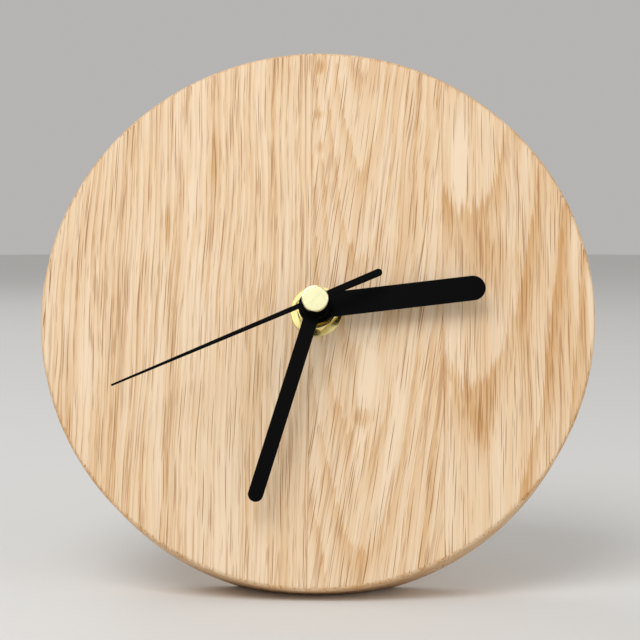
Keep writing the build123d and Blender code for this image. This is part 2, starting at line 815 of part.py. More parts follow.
def control_chip():
    """Round drop of resin over the chip."""
    dome_radius = (chip_radius ** 2 + chip_height ** 2) / (2 * chip_height)
    dome = Pos(chip_x, chip_y, depth_z(board_back + chip_height - dome_radius)) * Sphere(dome_radius)
    dome_end = board_back + chip_height + overrun
    return dome & disc_in(chip_radius + overrun, board_back, dome_end, (chip_x, chip_y))


def quartz_crystal():
    """Small can that lies on the board."""
    can_z = depth_z(board_back + crystal_radius + fit_gap)
    can_y = crystal_bottom_y + crystal_length / 2
    return Pos(crystal_x, can_y, can_z) * (Rot(90, 0, 0) * Cylinder(crystal_radius, crystal_length))


def battery():
    """Cell lying across the bay, its raised end against the positive contact."""
    terminal_x = inner_half - contact_thickness
    body_right = terminal_x - battery_terminal_length
    body_length = battery_length - battery_terminal_length
    axis_z = depth_z(battery_front_gap + battery_radius)
    body = Cylinder(battery_radius, body_length)
    body = chamfer(body.edges().filter_by(GeomType.CIRCLE), battery_edge_chamfer)
    nub_middle = (body_length + battery_terminal_length) / 2
    body += Pos(0, 0, nub_middle) * Cylinder(battery_terminal_radius, battery_terminal_length)
    return Pos(body_right - body_length / 2, battery_y, axis_z) * (Rot(0, 90, 0) * body)


def contact_plate(side):
    """Upright plate at one end of the bay, with the tab that passes the bay wall."""
    wall = side * inner_half
    edges = sorted((wall, wall - side * contact_thickness))
    low, high = bay_wall_low_y - inner_corner, bay_wall_high_y + inner_corner
    plate = block_in(*edges, -inner_half + contact_inset, low, contact_front_depth, contact_back_depth)
    return plate + block_in(*edges, low, high, board_back, board_back + contact_tab_height)


def positive_contact():
    """Right-hand contact, its foot bent over the edge of the board."""
    wall = inner_half
    foot_high = board_bottom_y + contact_foot_overlap
    tab_back = board_back + contact_tab_height
    contact = contact_plate(1)
    contact += block_in(wall - contact_thickness, wall, bay_wall_high_y, foot_high, board_back, tab_back)
    foot_left = board_right_x - contact_foot_overlap
    foot_back = board_back + contact_thickness
    foot_low = foot_high - contact_foot_width
    return contact + block_in(foot_left, wall, foot_low, foot_high, board_back, foot_back)


def negative_contact():
    """Left-hand contact with its bowed leaf, and the strip that runs along the bay wall to the board."""
    wall = -inner_half
    contact = contact_plate(-1)
    battery_left = inner_half - contact_thickness - battery_length
    leaf_x = wall + contact_thickness
    tip_x = battery_left - fit_gap
    low = (leaf_x, battery_y - leaf_chord / 2)
    high = (leaf_x, battery_y + leaf_chord / 2)
    inner_low = (leaf_x, low[1] + contact_thickness)
    inner_high = (leaf_x, high[1] - contact_thickness)
    leaf = make_face([
        ThreePointArc(low, (tip_x, battery_y), high),
        Line(high, inner_high),
        ThreePointArc(inner_high, (tip_x - contact_thickness, battery_y), inner_low),
        Line(inner_low, low),
    ])
    middle_depth = battery_front_gap + battery_radius
    contact += slab_in(leaf, middle_depth - leaf_height / 2, middle_depth + leaf_height / 2)
    foot_left = negative_foot_x - contact_foot_width / 2
    foot_right = negative_foot_x + contact_foot_width / 2
    strip_y = bay_wall_high_y + contact_thickness
    contact += block_in(
        wall, foot_right, bay_wall_high_y, strip_y, board_back, board_back + contact_tab_height
    )
    return contact + block_in(
        foot_left, foot_right, bay_wall_high_y, board_bottom_y + contact_foot_overlap, board_back,
        board_back + contact_thickness
    )


def setting_knob():
    """Fluted knob on the end of the setting arbor."""
    outline = Circle(knob_radius)
    for flute in range(knob_flutes):
        outline -= Pos(*reach(knob_radius, 360 * flute / knob_flutes)) * Circle(knob_flute_radius)
    front = case_end_depth + knob_gap
    knob = toothed_in(outline, axis_motion, front, front + knob_height)
    bore_radius = setting_arbor_radius + fit_gap
    return knob - disc_in(bore_radius, front - overrun, front + knob_grip_depth, axis_motion)


def all_pieces():
    """Every piece by the name of its node, in the dial frame."""
    pieces = oak_boards()
    makers = (
        prop_leg, threaded_bush, washer, hex_nut, gasket,
        hour_hand, minute_hand, second_hand, second_hand_boss,
        hour_wheel, minute_arbor, motion_wheel,
        centre_wheel, third_wheel, second_wheel, second_arbor, intermediate_wheel, rotor, rotor_magnet,
        stator, coil_core, coil_bobbin, coil_winding,
        front_case, rear_cover, middle_plate, setting_knob,
        circuit_board, control_chip, quartz_crystal,
        battery, positive_contact, negative_contact,
    )
    for maker in makers:
        pieces[maker.__name__] = maker()
    return pieces


os.makedirs("parts", exist_ok=True)
for name, shape in all_pieces().items():
    export_step(place(shape), f"parts/{name}.step")
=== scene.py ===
import json
from collections import namedtuple
from math import asin, cos, hypot, pi, radians, sin, sqrt, tan

import bmesh
import bpy
from bmesh.types import BMEdge, BMFace, BMVert
from bpy.props import FloatProperty, FloatVectorProperty, IntProperty, PointerProperty
from bpy.types import Operator, Panel, PropertyGroup
from mathutils import Matrix, Vector


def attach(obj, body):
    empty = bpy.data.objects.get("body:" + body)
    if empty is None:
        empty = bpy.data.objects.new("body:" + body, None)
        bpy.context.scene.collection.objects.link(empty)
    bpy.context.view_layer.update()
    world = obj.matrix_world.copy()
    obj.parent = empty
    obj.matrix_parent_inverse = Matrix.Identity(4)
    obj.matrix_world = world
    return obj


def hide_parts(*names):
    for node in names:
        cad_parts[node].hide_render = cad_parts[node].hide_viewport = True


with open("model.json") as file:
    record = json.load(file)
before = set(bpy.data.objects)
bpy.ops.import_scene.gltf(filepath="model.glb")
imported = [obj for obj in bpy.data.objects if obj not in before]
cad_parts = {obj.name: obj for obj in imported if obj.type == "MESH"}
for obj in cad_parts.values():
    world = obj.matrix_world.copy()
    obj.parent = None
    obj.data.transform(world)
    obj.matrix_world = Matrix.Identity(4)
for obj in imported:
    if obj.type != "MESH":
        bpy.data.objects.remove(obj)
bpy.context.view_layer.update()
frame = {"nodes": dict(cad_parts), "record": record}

bl_info = {
    "name": "Oak desk clock",
    "version": (1, 0, 0),
    "blender": (4, 5, 0),
    "location": "3D View > Sidebar > Clock",
    "description": "Builds a leaning round oak desk clock on its packed solids",
    "category": "Object",
}

# Pieces are drawn in the dial frame: x to the right, y up the face, z out of the face, zero at the
# middle of the face. stand_up() then leans them back onto the table.
mm = 0.001
# Vertices nearer to each other than this are made one.
weld = 0.0005 * mm
# Faces that meet at less than this are shaded as one.
smooth_below = radians(30)


# Kinds of property

def length(name, description, millimetres):
    """A length that a user can change, given here in millimetres."""
    return FloatProperty(
        name=name, description=description, default=millimetres * mm, unit="LENGTH", precision=5
    )


def angle(name, description, degrees_of_turn):
    """An angle that a user can change, given here in degrees."""
    return FloatProperty(
        name=name, description=description, default=radians(degrees_of_turn), subtype="ANGLE"
    )


def count(name, description, number):
    """A number of like things."""
    return IntProperty(name=name, description=description, default=number, min=1, subtype="UNSIGNED")


def power(name, description, watts):
    """The power of a lamp, in watts."""
    return FloatProperty(name=name, description=description, default=watts, min=0, unit="POWER")


def share(name, description, number):
    """A share, where 1 is full strength."""
    return FloatProperty(name=name, description=description, default=number, min=0, subtype="FACTOR")


def colour(name, description, red, green, blue):
    """A colour, given here as it looks on a screen, from 0 to 255."""
    shown = [linear(part / 255) for part in (red, green, blue)]
    return FloatVectorProperty(
        name=name, description=description, default=shown, subtype="COLOR", size=3, min=0, max=1
    )


def linear(shown):
    """Linear light of one part of a screen colour."""
    return shown / 12.92 if shown <= 0.04045 else ((shown + 0.055) / 1.055) ** 2.4


# Sizes and colours

class ClockWoodSizes(PropertyGroup):
    """Sizes of the oak disc and its leg."""
    disc_diameter: length("Disc diameter", "Width of the disc across its face", 150)
    disc_thickness: length("Disc thickness", "Thickness of the boards", 20)
    front_round: length("Front edge round", "Radius on the front edge of the rim", 1.2)
    back_chamfer: length("Back edge chamfer", "Width of the chamfer on the back edge of the rim", 0.8)
    lean: angle("Lean", "How far the dial leans back from upright", 18)
    flat_setback: length("Flat setback", "Distance from the face to the front edge of the sawn base flat", 10)
    left_glue_line: length("Left glue line", "Place of the joint between the left and middle boards", -1.8)
    right_glue_line: length("Right glue line", "Place of the joint between the middle and right boards", 34.1)
    web: length("Web", "Wood left between the pocket and the face", 4)
    pocket_side: length("Pocket side", "Width and height of the pocket for the movement", 57)
    pocket_corner: length("Pocket corner", "Radius in the upright corners of the pocket", 3.5)
    bush_hole_gap: length("Bush hole gap", "Room round the threaded bush", 0.3)
    leg_diameter: length("Leg diameter", "Thickness of the dowel leg", 12)
    leg_below_centre: length("Leg place", "Distance from the middle of the disc down to the leg", 50)
    leg_hole_depth: length("Leg hole depth", "How deep the leg is glued in", 13)
    leg_foot_length: length("Leg foot", "Length of the leg beyond the line where it meets the table", 5)
    leg_end_chamfer: length("Leg end chamfer", "Width of the chamfer on the end of the leg", 0.8)
    glue_gap: length("Glue gap", "Room for glue round the leg", 0.05)
    rim_steps: count("Rim steps", "Straight steps that the round rim is made of", 288)
    front_round_steps: count("Front edge steps", "Straight steps across the round front edge", 6)
    pocket_corner_steps: count("Pocket corner steps", "Straight steps of each pocket corner", 8)
    leg_hole_steps: count("Leg hole steps", "Straight steps round the hole for the leg", 64)


class ClockHandSizes(PropertyGroup):
    """Sizes of the hands. Angles run clockwise from twelve."""
    hour_angle: angle("Hour hand angle", "Where the hour hand points", 83)
    hour_length: length("Hour hand length", "From the axis to the tip", 45.6)
    hour_width: length("Hour hand width", "Width of the hour hand", 6.8)
    hour_hub: length("Hour hub radius", "Radius of the eye of the hour hand", 4.8)
    hour_level: length("Hour hand level", "Height of the hour hand over the face", 5.3)
    minute_angle: angle("Minute hand angle", "Where the minute hand points", 196.4)
    minute_length: length("Minute hand length", "From the axis to the tip", 55.2)
    minute_width: length("Minute hand width", "Width of the minute hand", 4)
    minute_hub: length("Minute hub radius", "Radius of the eye of the minute hand", 4.1)
    minute_level: length("Minute hand level", "Height of the minute hand over the face", 8.3)
    second_angle: angle("Second hand angle", "Where the second hand points", 246.25)
    second_length: length("Second hand length", "From the axis to the tip", 57.9)
    second_root_width: length("Second hand root width", "Width of the needle at the axis", 1.42)
    second_tip_width: length("Second hand tip width", "Width of the needle at its tip", 0.5)
    tail_length: length("Tail length", "From the axis to the end of the tail", 19.2)
    tail_root_width: length("Tail root width", "Width of the tail at the axis", 1.75)
    tail_end_width: length("Tail end width", "Width of the tail at its round end", 2.05)
    second_level: length("Second hand level", "Height of the second hand over the face", 12.75)
    thickness: length("Hand thickness", "Thickness of the sheet that the hands are cut from", 0.4)
    edge: length("Hand edge", "Width of the small chamfer round a hand", 0.06)
    collet_height: length("Collet height", "Height of the ring under a hand", 1.1)
    collet_wall: length("Collet wall", "Wall of that ring", 0.7)
    eye_steps: count("Eye steps", "Straight steps round the eye of the hour and minute hands", 56)
    needle_eye_steps: count("Needle eye steps", "Straight steps round the eye of the second hand", 48)
    needle_arc_steps: count("Needle arc steps", "Straight steps of each side of its eye", 18)
    tail_end_steps: count("Tail end steps", "Straight steps of the round end of its tail", 20)


class ClockFittingSizes(PropertyGroup):
    """Sizes of the brass at the middle of the dial."""
    bush_radius: length("Bush radius", "Outer radius of the thread", 4)
    bush_flange_radius: length("Bush flange radius", "Radius of the flange inside the case", 5.2)
    bush_flange_thickness: length("Bush flange thickness", "Thickness of that flange", 0.7)
    bush_reach: length("Bush reach", "How far the thread stands out of the face", 3.2)
    bush_foot: length("Bush foot", "Depth of the flange behind the face", 6.2)
    thread_pitch: length("Thread pitch", "Distance between two turns of the thread", 0.75)
    thread_depth: length("Thread depth", "Depth of the thread", 0.3)
    washer_radius: length("Washer radius", "Outer radius of the washer", 7)
    washer_thickness: length("Washer thickness", "Thickness of the washer", 0.5)
    washer_edge: length("Washer edge", "Width of the small chamfers on the washer", 0.1)
    thread_gap: length("Thread gap", "Room between the thread and what sits on it", 0.08)
    cap_radius: length("Cap radius", "Radius of the cap on the second hand", 3.55)
    cap_height: length("Cap height", "Height of that cap", 0.8)
    cap_chamfer: length("Cap chamfer", "Width of the chamfer on the cap", 0.25)
    cap_crown: length("Cap crown", "How much the cap rises to its middle", 0.004)
    cap_stem_radius: length("Stem radius", "Radius of the stem under the cap", 1)
    cap_stem_length: length("Stem length", "Length of that stem", 3.9)
    cap_bore_depth: length("Cap bore depth", "Depth of the bore inside the cap", 0.4)
    arbor_radius: length("Second arbor radius", "Radius of the second arbor", 0.55)
    hour_pipe_radius: length("Hour pipe radius", "Radius of the pipe that carries the hour hand", 2.75)
    minute_pipe_radius: length("Minute pipe radius", "Radius of the pipe that carries the minute hand", 1.85)
    running_gap: length("Running gap", "Room between parts that turn", 0.08)
    fit_gap: length("Fit gap", "Room between parts that are pressed together", 0.02)
    turned_steps: count("Turned steps", "Straight steps that turned parts are made of", 96)


class ClockWorksSizes(PropertyGroup):
    """Sizes of what shows at the back."""
    plastic_edge: length("Moulded edge", "Radius on the edges of moulded parts", 0.18)
    cell_radius: length("Cell radius", "Radius of the battery", 7.1)
    cell_length: length("Cell length", "Length of the battery with its terminal", 50.5)
    cell_right: length("Cell end", "Where the terminal of the battery ends", 26.5)
    cell_height: length("Cell height", "Place of the battery up the face", -19.5)
    cell_depth: length("Cell depth", "Depth of the battery's middle line behind the face", 13.45)
    terminal_radius: length("Terminal radius", "Radius of the raised terminal", 2.6)
    terminal_length: length("Terminal length", "Height of the raised terminal", 1.3)
    cell_edge: length("Cell edge", "Radius on the ends of the battery", 0.4)
    sleeve_fold: length("Sleeve fold", "How near the middle of each end the sleeve folds over", 6.25)
    band_start: length("Band start", "From the shoulder of the battery to the far side of its pale ring", 9)
    band_end: length("Band end", "From the shoulder of the battery to the near side of its pale ring", 6.5)


class ClockColours(PropertyGroup):
    """Colours of the clock."""
    oak_pale: colour("Pale oak", "Latewood and the palest streaks", 244, 219, 187)
    oak_mid: colour("Middle oak", "Most of the wood", 232, 198, 156)
    oak_deep: colour("Deep oak", "Earlywood bands and darker patches", 209, 158, 98)
    oak_pore: colour("Oak pore", "The short dark dashes along the grain", 152, 91, 32)
    brass: colour("Brass", "Washer, nut and bush", 240, 221, 150)
    pale_brass: colour("Pale brass", "Cap of the second hand", 226, 221, 178)
    black_paint: colour("Black paint", "The hands", 5, 5, 6)
    black_plastic: colour("Black plastic", "Case, cover and knob", 38, 38, 40)
    white_plastic: colour("White plastic", "Wheels and the coil's spool", 232, 230, 222)
    rubber: colour("Rubber", "Ring between the case and the wood", 30, 30, 30)
    steel: colour("Steel", "Arbor, stator and core", 190, 192, 195)
    nickel: colour("Nickel", "Contacts and the crystal's can", 205, 202, 194)
    magnet: colour("Magnet", "Ring magnet on the rotor", 70, 68, 66)
    copper: colour("Copper", "Winding of the coil", 190, 108, 66)
    board: colour("Circuit board", "Board that carries the chip", 52, 104, 66)
    resin: colour("Resin", "Drop over the chip", 22, 22, 24)
    cell_sleeve: colour("Cell sleeve", "Sleeve of the battery", 74, 96, 122)
    cell_band: colour("Cell band", "Plain ring on the sleeve near the terminal", 214, 217, 222)
    floor: colour("Floor", "Pale floor under the clock", 226, 226, 225)


class ClockStage(PropertyGroup):
    """Camera, lamps and floor."""
    lens: length("Lens", "Focal length of the camera", 101.25)
    sensor: length("Sensor", "Width of the camera's sensor", 36)
    distance: length("Camera distance", "From the camera to the face, along its view", 486.1)
    look_down: angle("Look down", "How far the camera looks down", 3.83)
    look_aside: angle("Look aside", "How far the camera stands to one side", 1.805)
    aside: length("Shift aside", "Place of the face's middle across the view", -0.9)
    above: length("Shift above", "Place of the face's middle up the view", 2.3)
    floor_radius: length("Floor radius", "Radius of the floor", 3000)
    key_power: power("Key lamp power", "Power of the soft lamp at the upper left", 7.1)
    key_distance: length("Key lamp distance", "From the middle of the face to the lamp", 1200)
    key_size: length("Key lamp size", "Side of the lamp", 760)
    fill_power: power("Fill lamp power", "Power of each weak lamp at the right and behind", 3)
    fill_distance: length("Fill lamp distance", "From the middle of the face to each weak lamp", 1500)
    fill_size: length("Fill lamp size", "Side of each weak lamp", 900)
    card_power: power("Card power", "Power of the soft card that the brass mirrors", 1.0)
    card_distance: length("Card distance", "From the middle of the face to the card", 1500)
    card_size: length("Card size", "Side of the card", 700)
    surround: share("Surround", "Strength of the pale light from all round", 0.465)


# Frames of reference

def dial_frame(wood):
    """Matrix from the dial frame to the frame of the whole clock."""
    radius = wood.disc_diameter / 2
    height = radius * cos(wood.lean) + wood.flat_setback * sin(wood.lean)
    rise = (wood.disc_thickness - wood.flat_setback) * tan(wood.lean)
    front = wood.flat_setback * cos(wood.lean) - radius * sin(wood.lean)
    back = wood.disc_thickness * cos(wood.lean) - (radius - rise) * sin(wood.lean)
    return Matrix.Translation((0, -(front + back) / 2, height)) @ Matrix.Rotation(pi / 2 - wood.lean, 4, "X")


def turned_to(hand_angle):
    """Matrix that turns a shape from twelve to a hand angle."""
    return Matrix.Rotation(-hand_angle, 4, "Z")


# Tools for shapes

def of_kind(made, kind):
    """The vertices, edges or faces among what an operator made."""
    return [part for part in made if isinstance(part, kind)]


def wire(bm, points, closed=False):
    """A chain of edges through points given as (x, y, z)."""
    verts = [bm.verts.new(point) for point in points]
    pairs = list(zip(verts, verts[1:]))
    if closed:
        pairs.append((verts[-1], verts[0]))
    return verts, [bm.edges.new(pair) for pair in pairs]


def round_corners(bm, corners, radius, segments):
    """Rounds some vertices of a chain or an outline."""
    bmesh.ops.bevel(
        bm, geom=corners, offset=radius, offset_type="OFFSET", segments=segments, profile=0.5,
        affect="VERTICES", material=-1,
    )


def chamfer_edges(bm, edges, width):
    """Takes the sharpness off some edges of a solid."""
    bmesh.ops.bevel(
        bm, geom=edges, offset=width, offset_type="OFFSET", segments=1, profile=0.5,
        affect="EDGES", material=-1, clamp_overlap=True,
    )


def spin_about_z(bm, geometry, steps):
    """Full turn of an outline about the z axis."""
    bmesh.ops.spin(
        bm, geom=geometry, cent=(0, 0, 0), axis=(0, 0, 1), angle=2 * pi, steps=steps, use_merge=True
    )
    bmesh.ops.remove_doubles(bm, verts=bm.verts, dist=weld)


def turned(bm, outline, steps, closed=False):
    """Turned body from an outline of (radius, height) points."""
    verts, edges = wire(bm, [(radius, 0, height) for radius, height in outline], closed)
    spin_about_z(bm, verts + edges, steps)


def ring_of_edges(bm, radius, place, steps):
    """Round loop of edges, without a face."""
    made = bmesh.ops.create_circle(
        bm, cap_ends=False, radius=radius, segments=steps, matrix=Matrix.Translation(place)
    )
    return list({edge for vert in made["verts"] for edge in vert.link_edges})


def pushed_in(bm, edges, depth):
    """Wall raised on a loop of edges; the edges of its far end."""
    made = bmesh.ops.extrude_edge_only(bm, edges=edges)["geom"]
    far = of_kind(made, BMVert)
    bmesh.ops.translate(bm, verts=far, vec=(0, 0, depth))
    return [edge for edge in of_kind(made, BMEdge) if all(vert in far for vert in edge.verts)]


def filled(bm, edges):
    """Flat faces over loops of edges, with what they hold left open."""
    made = bmesh.ops.triangle_fill(bm, edges=edges, use_beauty=True, use_dissolve=False)["geom"]
    return of_kind(made, BMFace)


def sawn(bm, place, normal, keep_front=True):
    """Cuts the mesh with a plane, keeps one side and closes the cut."""
    everything = bm.verts[:] + bm.edges[:] + bm.faces[:]
    made = bmesh.ops.bisect_plane(
        bm, geom=everything, dist=weld, plane_co=place, plane_no=normal,
        clear_inner=keep_front, clear_outer=not keep_front,
    )
    bmesh.ops.edgeloop_fill(bm, edges=of_kind(made["geom_cut"], BMEdge))


def raised(bm, faces, height):
    """Flat faces drawn up into a solid; the faces of its top."""
    made = bmesh.ops.extrude_face_region(bm, geom=faces)["geom"]
    bmesh.ops.translate(bm, verts=of_kind(made, BMVert), vec=(0, 0, height))
    return of_kind(made, BMFace)


def sheet_cut(bm, edges, low, thickness, edge):
    """Sheet with chamfered edges from loops of edges at height zero."""
    faces = filled(bm, edges)
    bmesh.ops.recalc_face_normals(bm, faces=faces)
    if faces[0].normal.z > 0:
        bmesh.ops.reverse_faces(bm, faces=faces)
    top = raised(bm, faces, thickness)
    sheet = {vert for face in faces + top for vert in face.verts}
    bmesh.ops.translate(bm, verts=list(sheet), vec=(0, 0, low))
    for side in (faces, top):
        bmesh.ops.inset_region(
            bm, faces=side, thickness=edge, depth=0, use_even_offset=True, use_boundary=True
        )
    for side, step in ((faces, edge), (top, -edge)):
        inside = {vert for face in side for vert in face.verts}
        skirt = {face for vert in inside for face in vert.link_faces}
        rim = {vert for face in skirt for vert in face.verts} - inside
        bmesh.ops.translate(bm, verts=list(rim), vec=(0, 0, step))


def arc(bm, start, middle, turn, steps):
    """Arc about a point on the y axis, to the left where the turn is positive; its last vertex."""
    made = bmesh.ops.spin(
        bm, geom=[start], cent=(0, middle, 0), axis=(0, 0, 1), angle=turn, steps=steps, use_merge=False
    )
    return of_kind(made["geom_last"], BMVert)[0]


def put_in_scene(name, data):
    """New object that holds a mesh, a lamp or a camera."""
    made = bpy.data.objects.new(name, data)
    bpy.context.scene.collection.objects.link(made)
    return made


def mesh_of(bm, name, finish):
    """Mesh that wears a finish."""
    mesh = bpy.data.meshes.new(name)
    bm.to_mesh(mesh)
    bm.free()
    mesh.materials.append(finish)
    return mesh


def stand_up(bm, name, finish, body, slot, *nodes, sharp=smooth_below):
    """Leans a piece from the dial frame onto the table and hands it over."""
    bmesh.ops.remove_doubles(bm, verts=bm.verts, dist=weld)
    bmesh.ops.transform(bm, matrix=dial_frame(bpy.context.scene.clock_wood), verts=bm.verts)
    handed_over(bm, name, finish, body, slot, *nodes, sharp=sharp)


def handed_over(bm, name, finish, body, slot, *nodes, sharp=smooth_below):
    """Makes a piece from a mesh that stands in its place, and hangs it on its body."""
    bmesh.ops.recalc_face_normals(bm, faces=bm.faces)
    mesh = mesh_of(bm, name, finish)
    mesh.shade_smooth()
    mesh.set_sharp_from_angle(angle=sharp)
    piece = put_in_scene(name, mesh)
    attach(piece, body)
    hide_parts(*nodes)


def softened_copy(node, width):
    """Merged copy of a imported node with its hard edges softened."""
    flat, crease, packed_weld = radians(2), radians(28), 0.002 * mm
    bm = bmesh.new()
    bm.from_mesh(frame["nodes"][node].data)
    bmesh.ops.remove_doubles(bm, verts=bm.verts, dist=packed_weld)
    bmesh.ops.dissolve_limit(bm, angle_limit=flat, verts=bm.verts, edges=bm.edges)
    hard = [edge for edge in bm.edges if len(edge.link_faces) == 2 and edge.calc_face_angle() > crease]
    chamfer_edges(bm, hard, width)
    return bm


# Tools for finishes

class Value:
    """A socket of a finish. An expression on values adds the Math nodes that work it out."""

    def __init__(self, finish, socket):
        self.finish = finish
        self.socket = socket

    def maths(self, operation, *terms):
        return self.finish.node("ShaderNodeMath", {"operation": operation}, dict(enumerate(terms)))

    def __add__(self, other):
        return self.maths("ADD", self, other)

    def __radd__(self, other):
        return self.maths("ADD", other, self)

    def __sub__(self, other):
        return self.maths("SUBTRACT", self, other)

    def __rsub__(self, other):
        return self.maths("SUBTRACT", other, self)

    def __mul__(self, other):
        return self.maths("MULTIPLY", self, other)

    def __rmul__(self, other):
        return self.maths("MULTIPLY", other, self)

    def __truediv__(self, other):
        return self.maths("DIVIDE", self, other)

    def __pow__(self, power):
        return self.maths("POWER", self, power)

    def __abs__(self):
        return self.maths("ABSOLUTE", self)

    def part_of_one(self):
        """What is left after the whole number."""
        return self.maths("FRACT", self)

    def largest(self, other):
        return self.maths("MAXIMUM", self, other)

    def rises(self, low, high):
        """Goes smoothly from 0 to 1 between low and high, or from 1 to 0 where high is the lower."""
        if low > high:
            return 1 - self.rises(high, low)
        return self.finish.node(
            "ShaderNodeMapRange", {"interpolation_type": "SMOOTHSTEP"},
            {"Value": self, "From Min": low, "From Max": high, "To Min": 0.0, "To Max": 1.0},
        )


class Finish:
    """A material while it is made: its node tree, its shader, and the one way to add a node."""

    def __init__(self, name, **shader_values):
        self.material = bpy.data.materials.new(name)
        self.material.use_nodes = True
        self.tree = self.material.node_tree
        self.shader = self.tree.nodes["Principled BSDF"]
        self.done(**shader_values)

    def feed(self, socket, value):
        """Links or sets one socket."""
        if isinstance(value, Value):
            self.tree.links.new(value.socket, socket)
        elif socket.type == "RGBA":
            socket.default_value = (*value[:3], 1)
        else:
            socket.default_value = value

    def node(self, kind, settings=None, inputs=None, output=0):
        """Adds a node, gives it its settings and then its inputs, and returns one output."""
        node = self.tree.nodes.new(kind)
        for name, value in (settings or {}).items():
            if name == "stops":
                self.set_stops(node.color_ramp, value)
            else:
                setattr(node, name, value)
        for key, value in (inputs or {}).items():
            self.feed(node.inputs[key], value)
        return Value(self, node.outputs[output])

    def set_stops(self, ramp, stops):
        """Gives a ramp its stops, each a place and a colour."""
        while len(ramp.elements) < len(stops):
            ramp.elements.new(1.0)
        for element, (place, shade) in zip(ramp.elements, stops):
            element.position = place
            element.color = (*shade[:3], 1)

    def place(self, matrix):
        """Object coordinates taken through a matrix, in millimetres."""
        coordinates = self.node("ShaderNodeTexCoord", output="Object")
        return self.node("ShaderNodeMapping", {"vector_type": "POINT"}, {
            "Vector": coordinates, "Location": matrix.to_translation() / mm,
            "Rotation": matrix.to_euler(), "Scale": (1 / mm,) * 3,
        })

    def on_dial(self):
        """Coordinates in the dial frame, in millimetres."""
        return self.place(dial_frame(bpy.context.scene.clock_wood).inverted())

    def parts(self, vector):
        """The three numbers of a vector."""
        first = self.node("ShaderNodeSeparateXYZ", inputs={0: vector})
        return [Value(self, socket) for socket in first.socket.node.outputs]

    def vector(self, x, y, z):
        return self.node("ShaderNodeCombineXYZ", inputs={0: x, 1: y, 2: z})

    def stretched(self, vector, scale, shift=(0, 0, 0)):
        """A vector scaled on each axis and then shifted."""
        scaled = self.node("ShaderNodeVectorMath", {"operation": "MULTIPLY"}, {0: vector, 1: scale})
        return self.moved(scaled, shift)

    def moved(self, vector, step):
        """A vector with another added to it."""
        return self.node("ShaderNodeVectorMath", {"operation": "ADD"}, {0: vector, 1: step})

    def noise(self, vector, scale=1.0, detail=2.0, roughness=0.5):
        """Soft noise from about 0 to 1."""
        return self.node("ShaderNodeTexNoise", {"noise_dimensions": "3D"}, {
            "Vector": vector, "Scale": scale, "Detail": detail, "Roughness": roughness,
        })

    def cells(self, vector, output):
        """Distance to the nearest cell's middle, or that cell's own colour."""
        return self.node("ShaderNodeTexVoronoi", {"feature": "F1"}, {"Vector": vector, "Scale": 1.0}, output)

    def mixed(self, part, first, second):
        """Two colours mixed, by the part that the second takes."""
        settings = {"data_type": "RGBA", "clamp_factor": True}
        return self.node("ShaderNodeMix", settings, {0: part, 6: first, 7: second}, 2)

    def bumped(self, height, depth_of_relief, strength):
        """Relief on the surface from a height of 0 to 1."""
        relief = self.node("ShaderNodeBump", inputs={
            "Strength": strength, "Distance": depth_of_relief, "Height": height,
        })
        self.feed(self.shader.inputs["Normal"], relief)

    def done(self, **inputs):
        """Sets or links the shader's inputs and hands over the material."""
        for socket, value in inputs.items():
            self.feed(self.shader.inputs[socket.replace("_", " ")], value)
        return self.material


# Oak

# How a board's grain runs. Lengths are in millimetres. slant leans the fibres to the right going up;
# the heart of the tree lies off the board; climb is how fast the rings near it going up the board.
Grain = namedtuple(
    "Grain", "slant heart_x heart_z climb ring jag band seed hair_share dash_share streak"
)
# A darker or paler place in the wood: middle, half width, half height, lean and strength.
Figure = namedtuple("Figure", "x y half_width half_height lean strength")

grains = {
    "left": Grain(
        slant=radians(0.6), heart_x=-150.0, heart_z=-24.0, climb=0.0, ring=1.7, jag=1.1, band=0.30,
        seed=3.1, hair_share=0.85, dash_share=1.0, streak=1.0,
    ),
    "middle": Grain(
        slant=radians(7.5), heart_x=12.5, heart_z=-14.0, climb=-0.095, ring=2.5, jag=0.7, band=0.34,
        seed=17.3, hair_share=1.0, dash_share=0.9, streak=0.7,
    ),
    "right": Grain(
        slant=radians(0.8), heart_x=41.0, heart_z=-35.0, climb=-0.095, ring=4.6, jag=0.5, band=0.42,
        seed=41.7, hair_share=0.9, dash_share=1.2, streak=0.8,
    ),
}


grains["leg"] = grains["left"]._replace(heart_x=-40.0, heart_z=20.0, seed=8.8)

figures_of = {
    "left": (
        Figure(-28.7, 44.0, 1.4, 10.0, 0.02, 0.35), Figure(-41.1, 24.0, 0.9, 8.0, 0.0, 0.4),
        Figure(-34.3, 33.0, 1.8, 8.0, 0.0, -0.3),
    ),
    "middle": (
        Figure(0.4, 70.4, 1.8, 2.4, 0.1, 0.4), Figure(0.0, 56.5, 1.5, 1.8, 0.1, 0.35),
        Figure(0.4, 47.0, 1.8, 2.0, 0.1, 0.3), Figure(13.5, -16.0, 3.0, 11.0, 0.05, -0.6),
        Figure(11.5, -40.0, 2.4, 8.0, 0.05, -0.4), Figure(12.5, -29.0, 3.2, 2.6, 0.0, 0.3),
    ),
    "right": (
        Figure(39.0, 42.0, 2.6, 13.0, 0.0, -0.45), Figure(49.0, 13.0, 7.0, 10.0, 0.0, 0.25),
        Figure(61.0, 9.0, 1.0, 13.0, 0.0, 0.25), Figure(67.0, -6.0, 6.0, 24.0, 0.0, 0.2),
        Figure(36.0, -16.0, 1.8, 5.0, -0.4, 0.28), Figure(43.0, -30.0, 2.4, 9.0, -0.2, 0.3),
        Figure(74.0, 2.0, 1.2, 17.0, 0.0, -0.4),
    ),
}

cracks_of = {
    "left": (Figure(-72.75, 9.0, 0.22, 5.2, 0.02, 0.9), Figure(-73.9, -2.2, 0.22, 3.0, 0.05, 0.9)),
    "middle": (),
    "right": (),
}

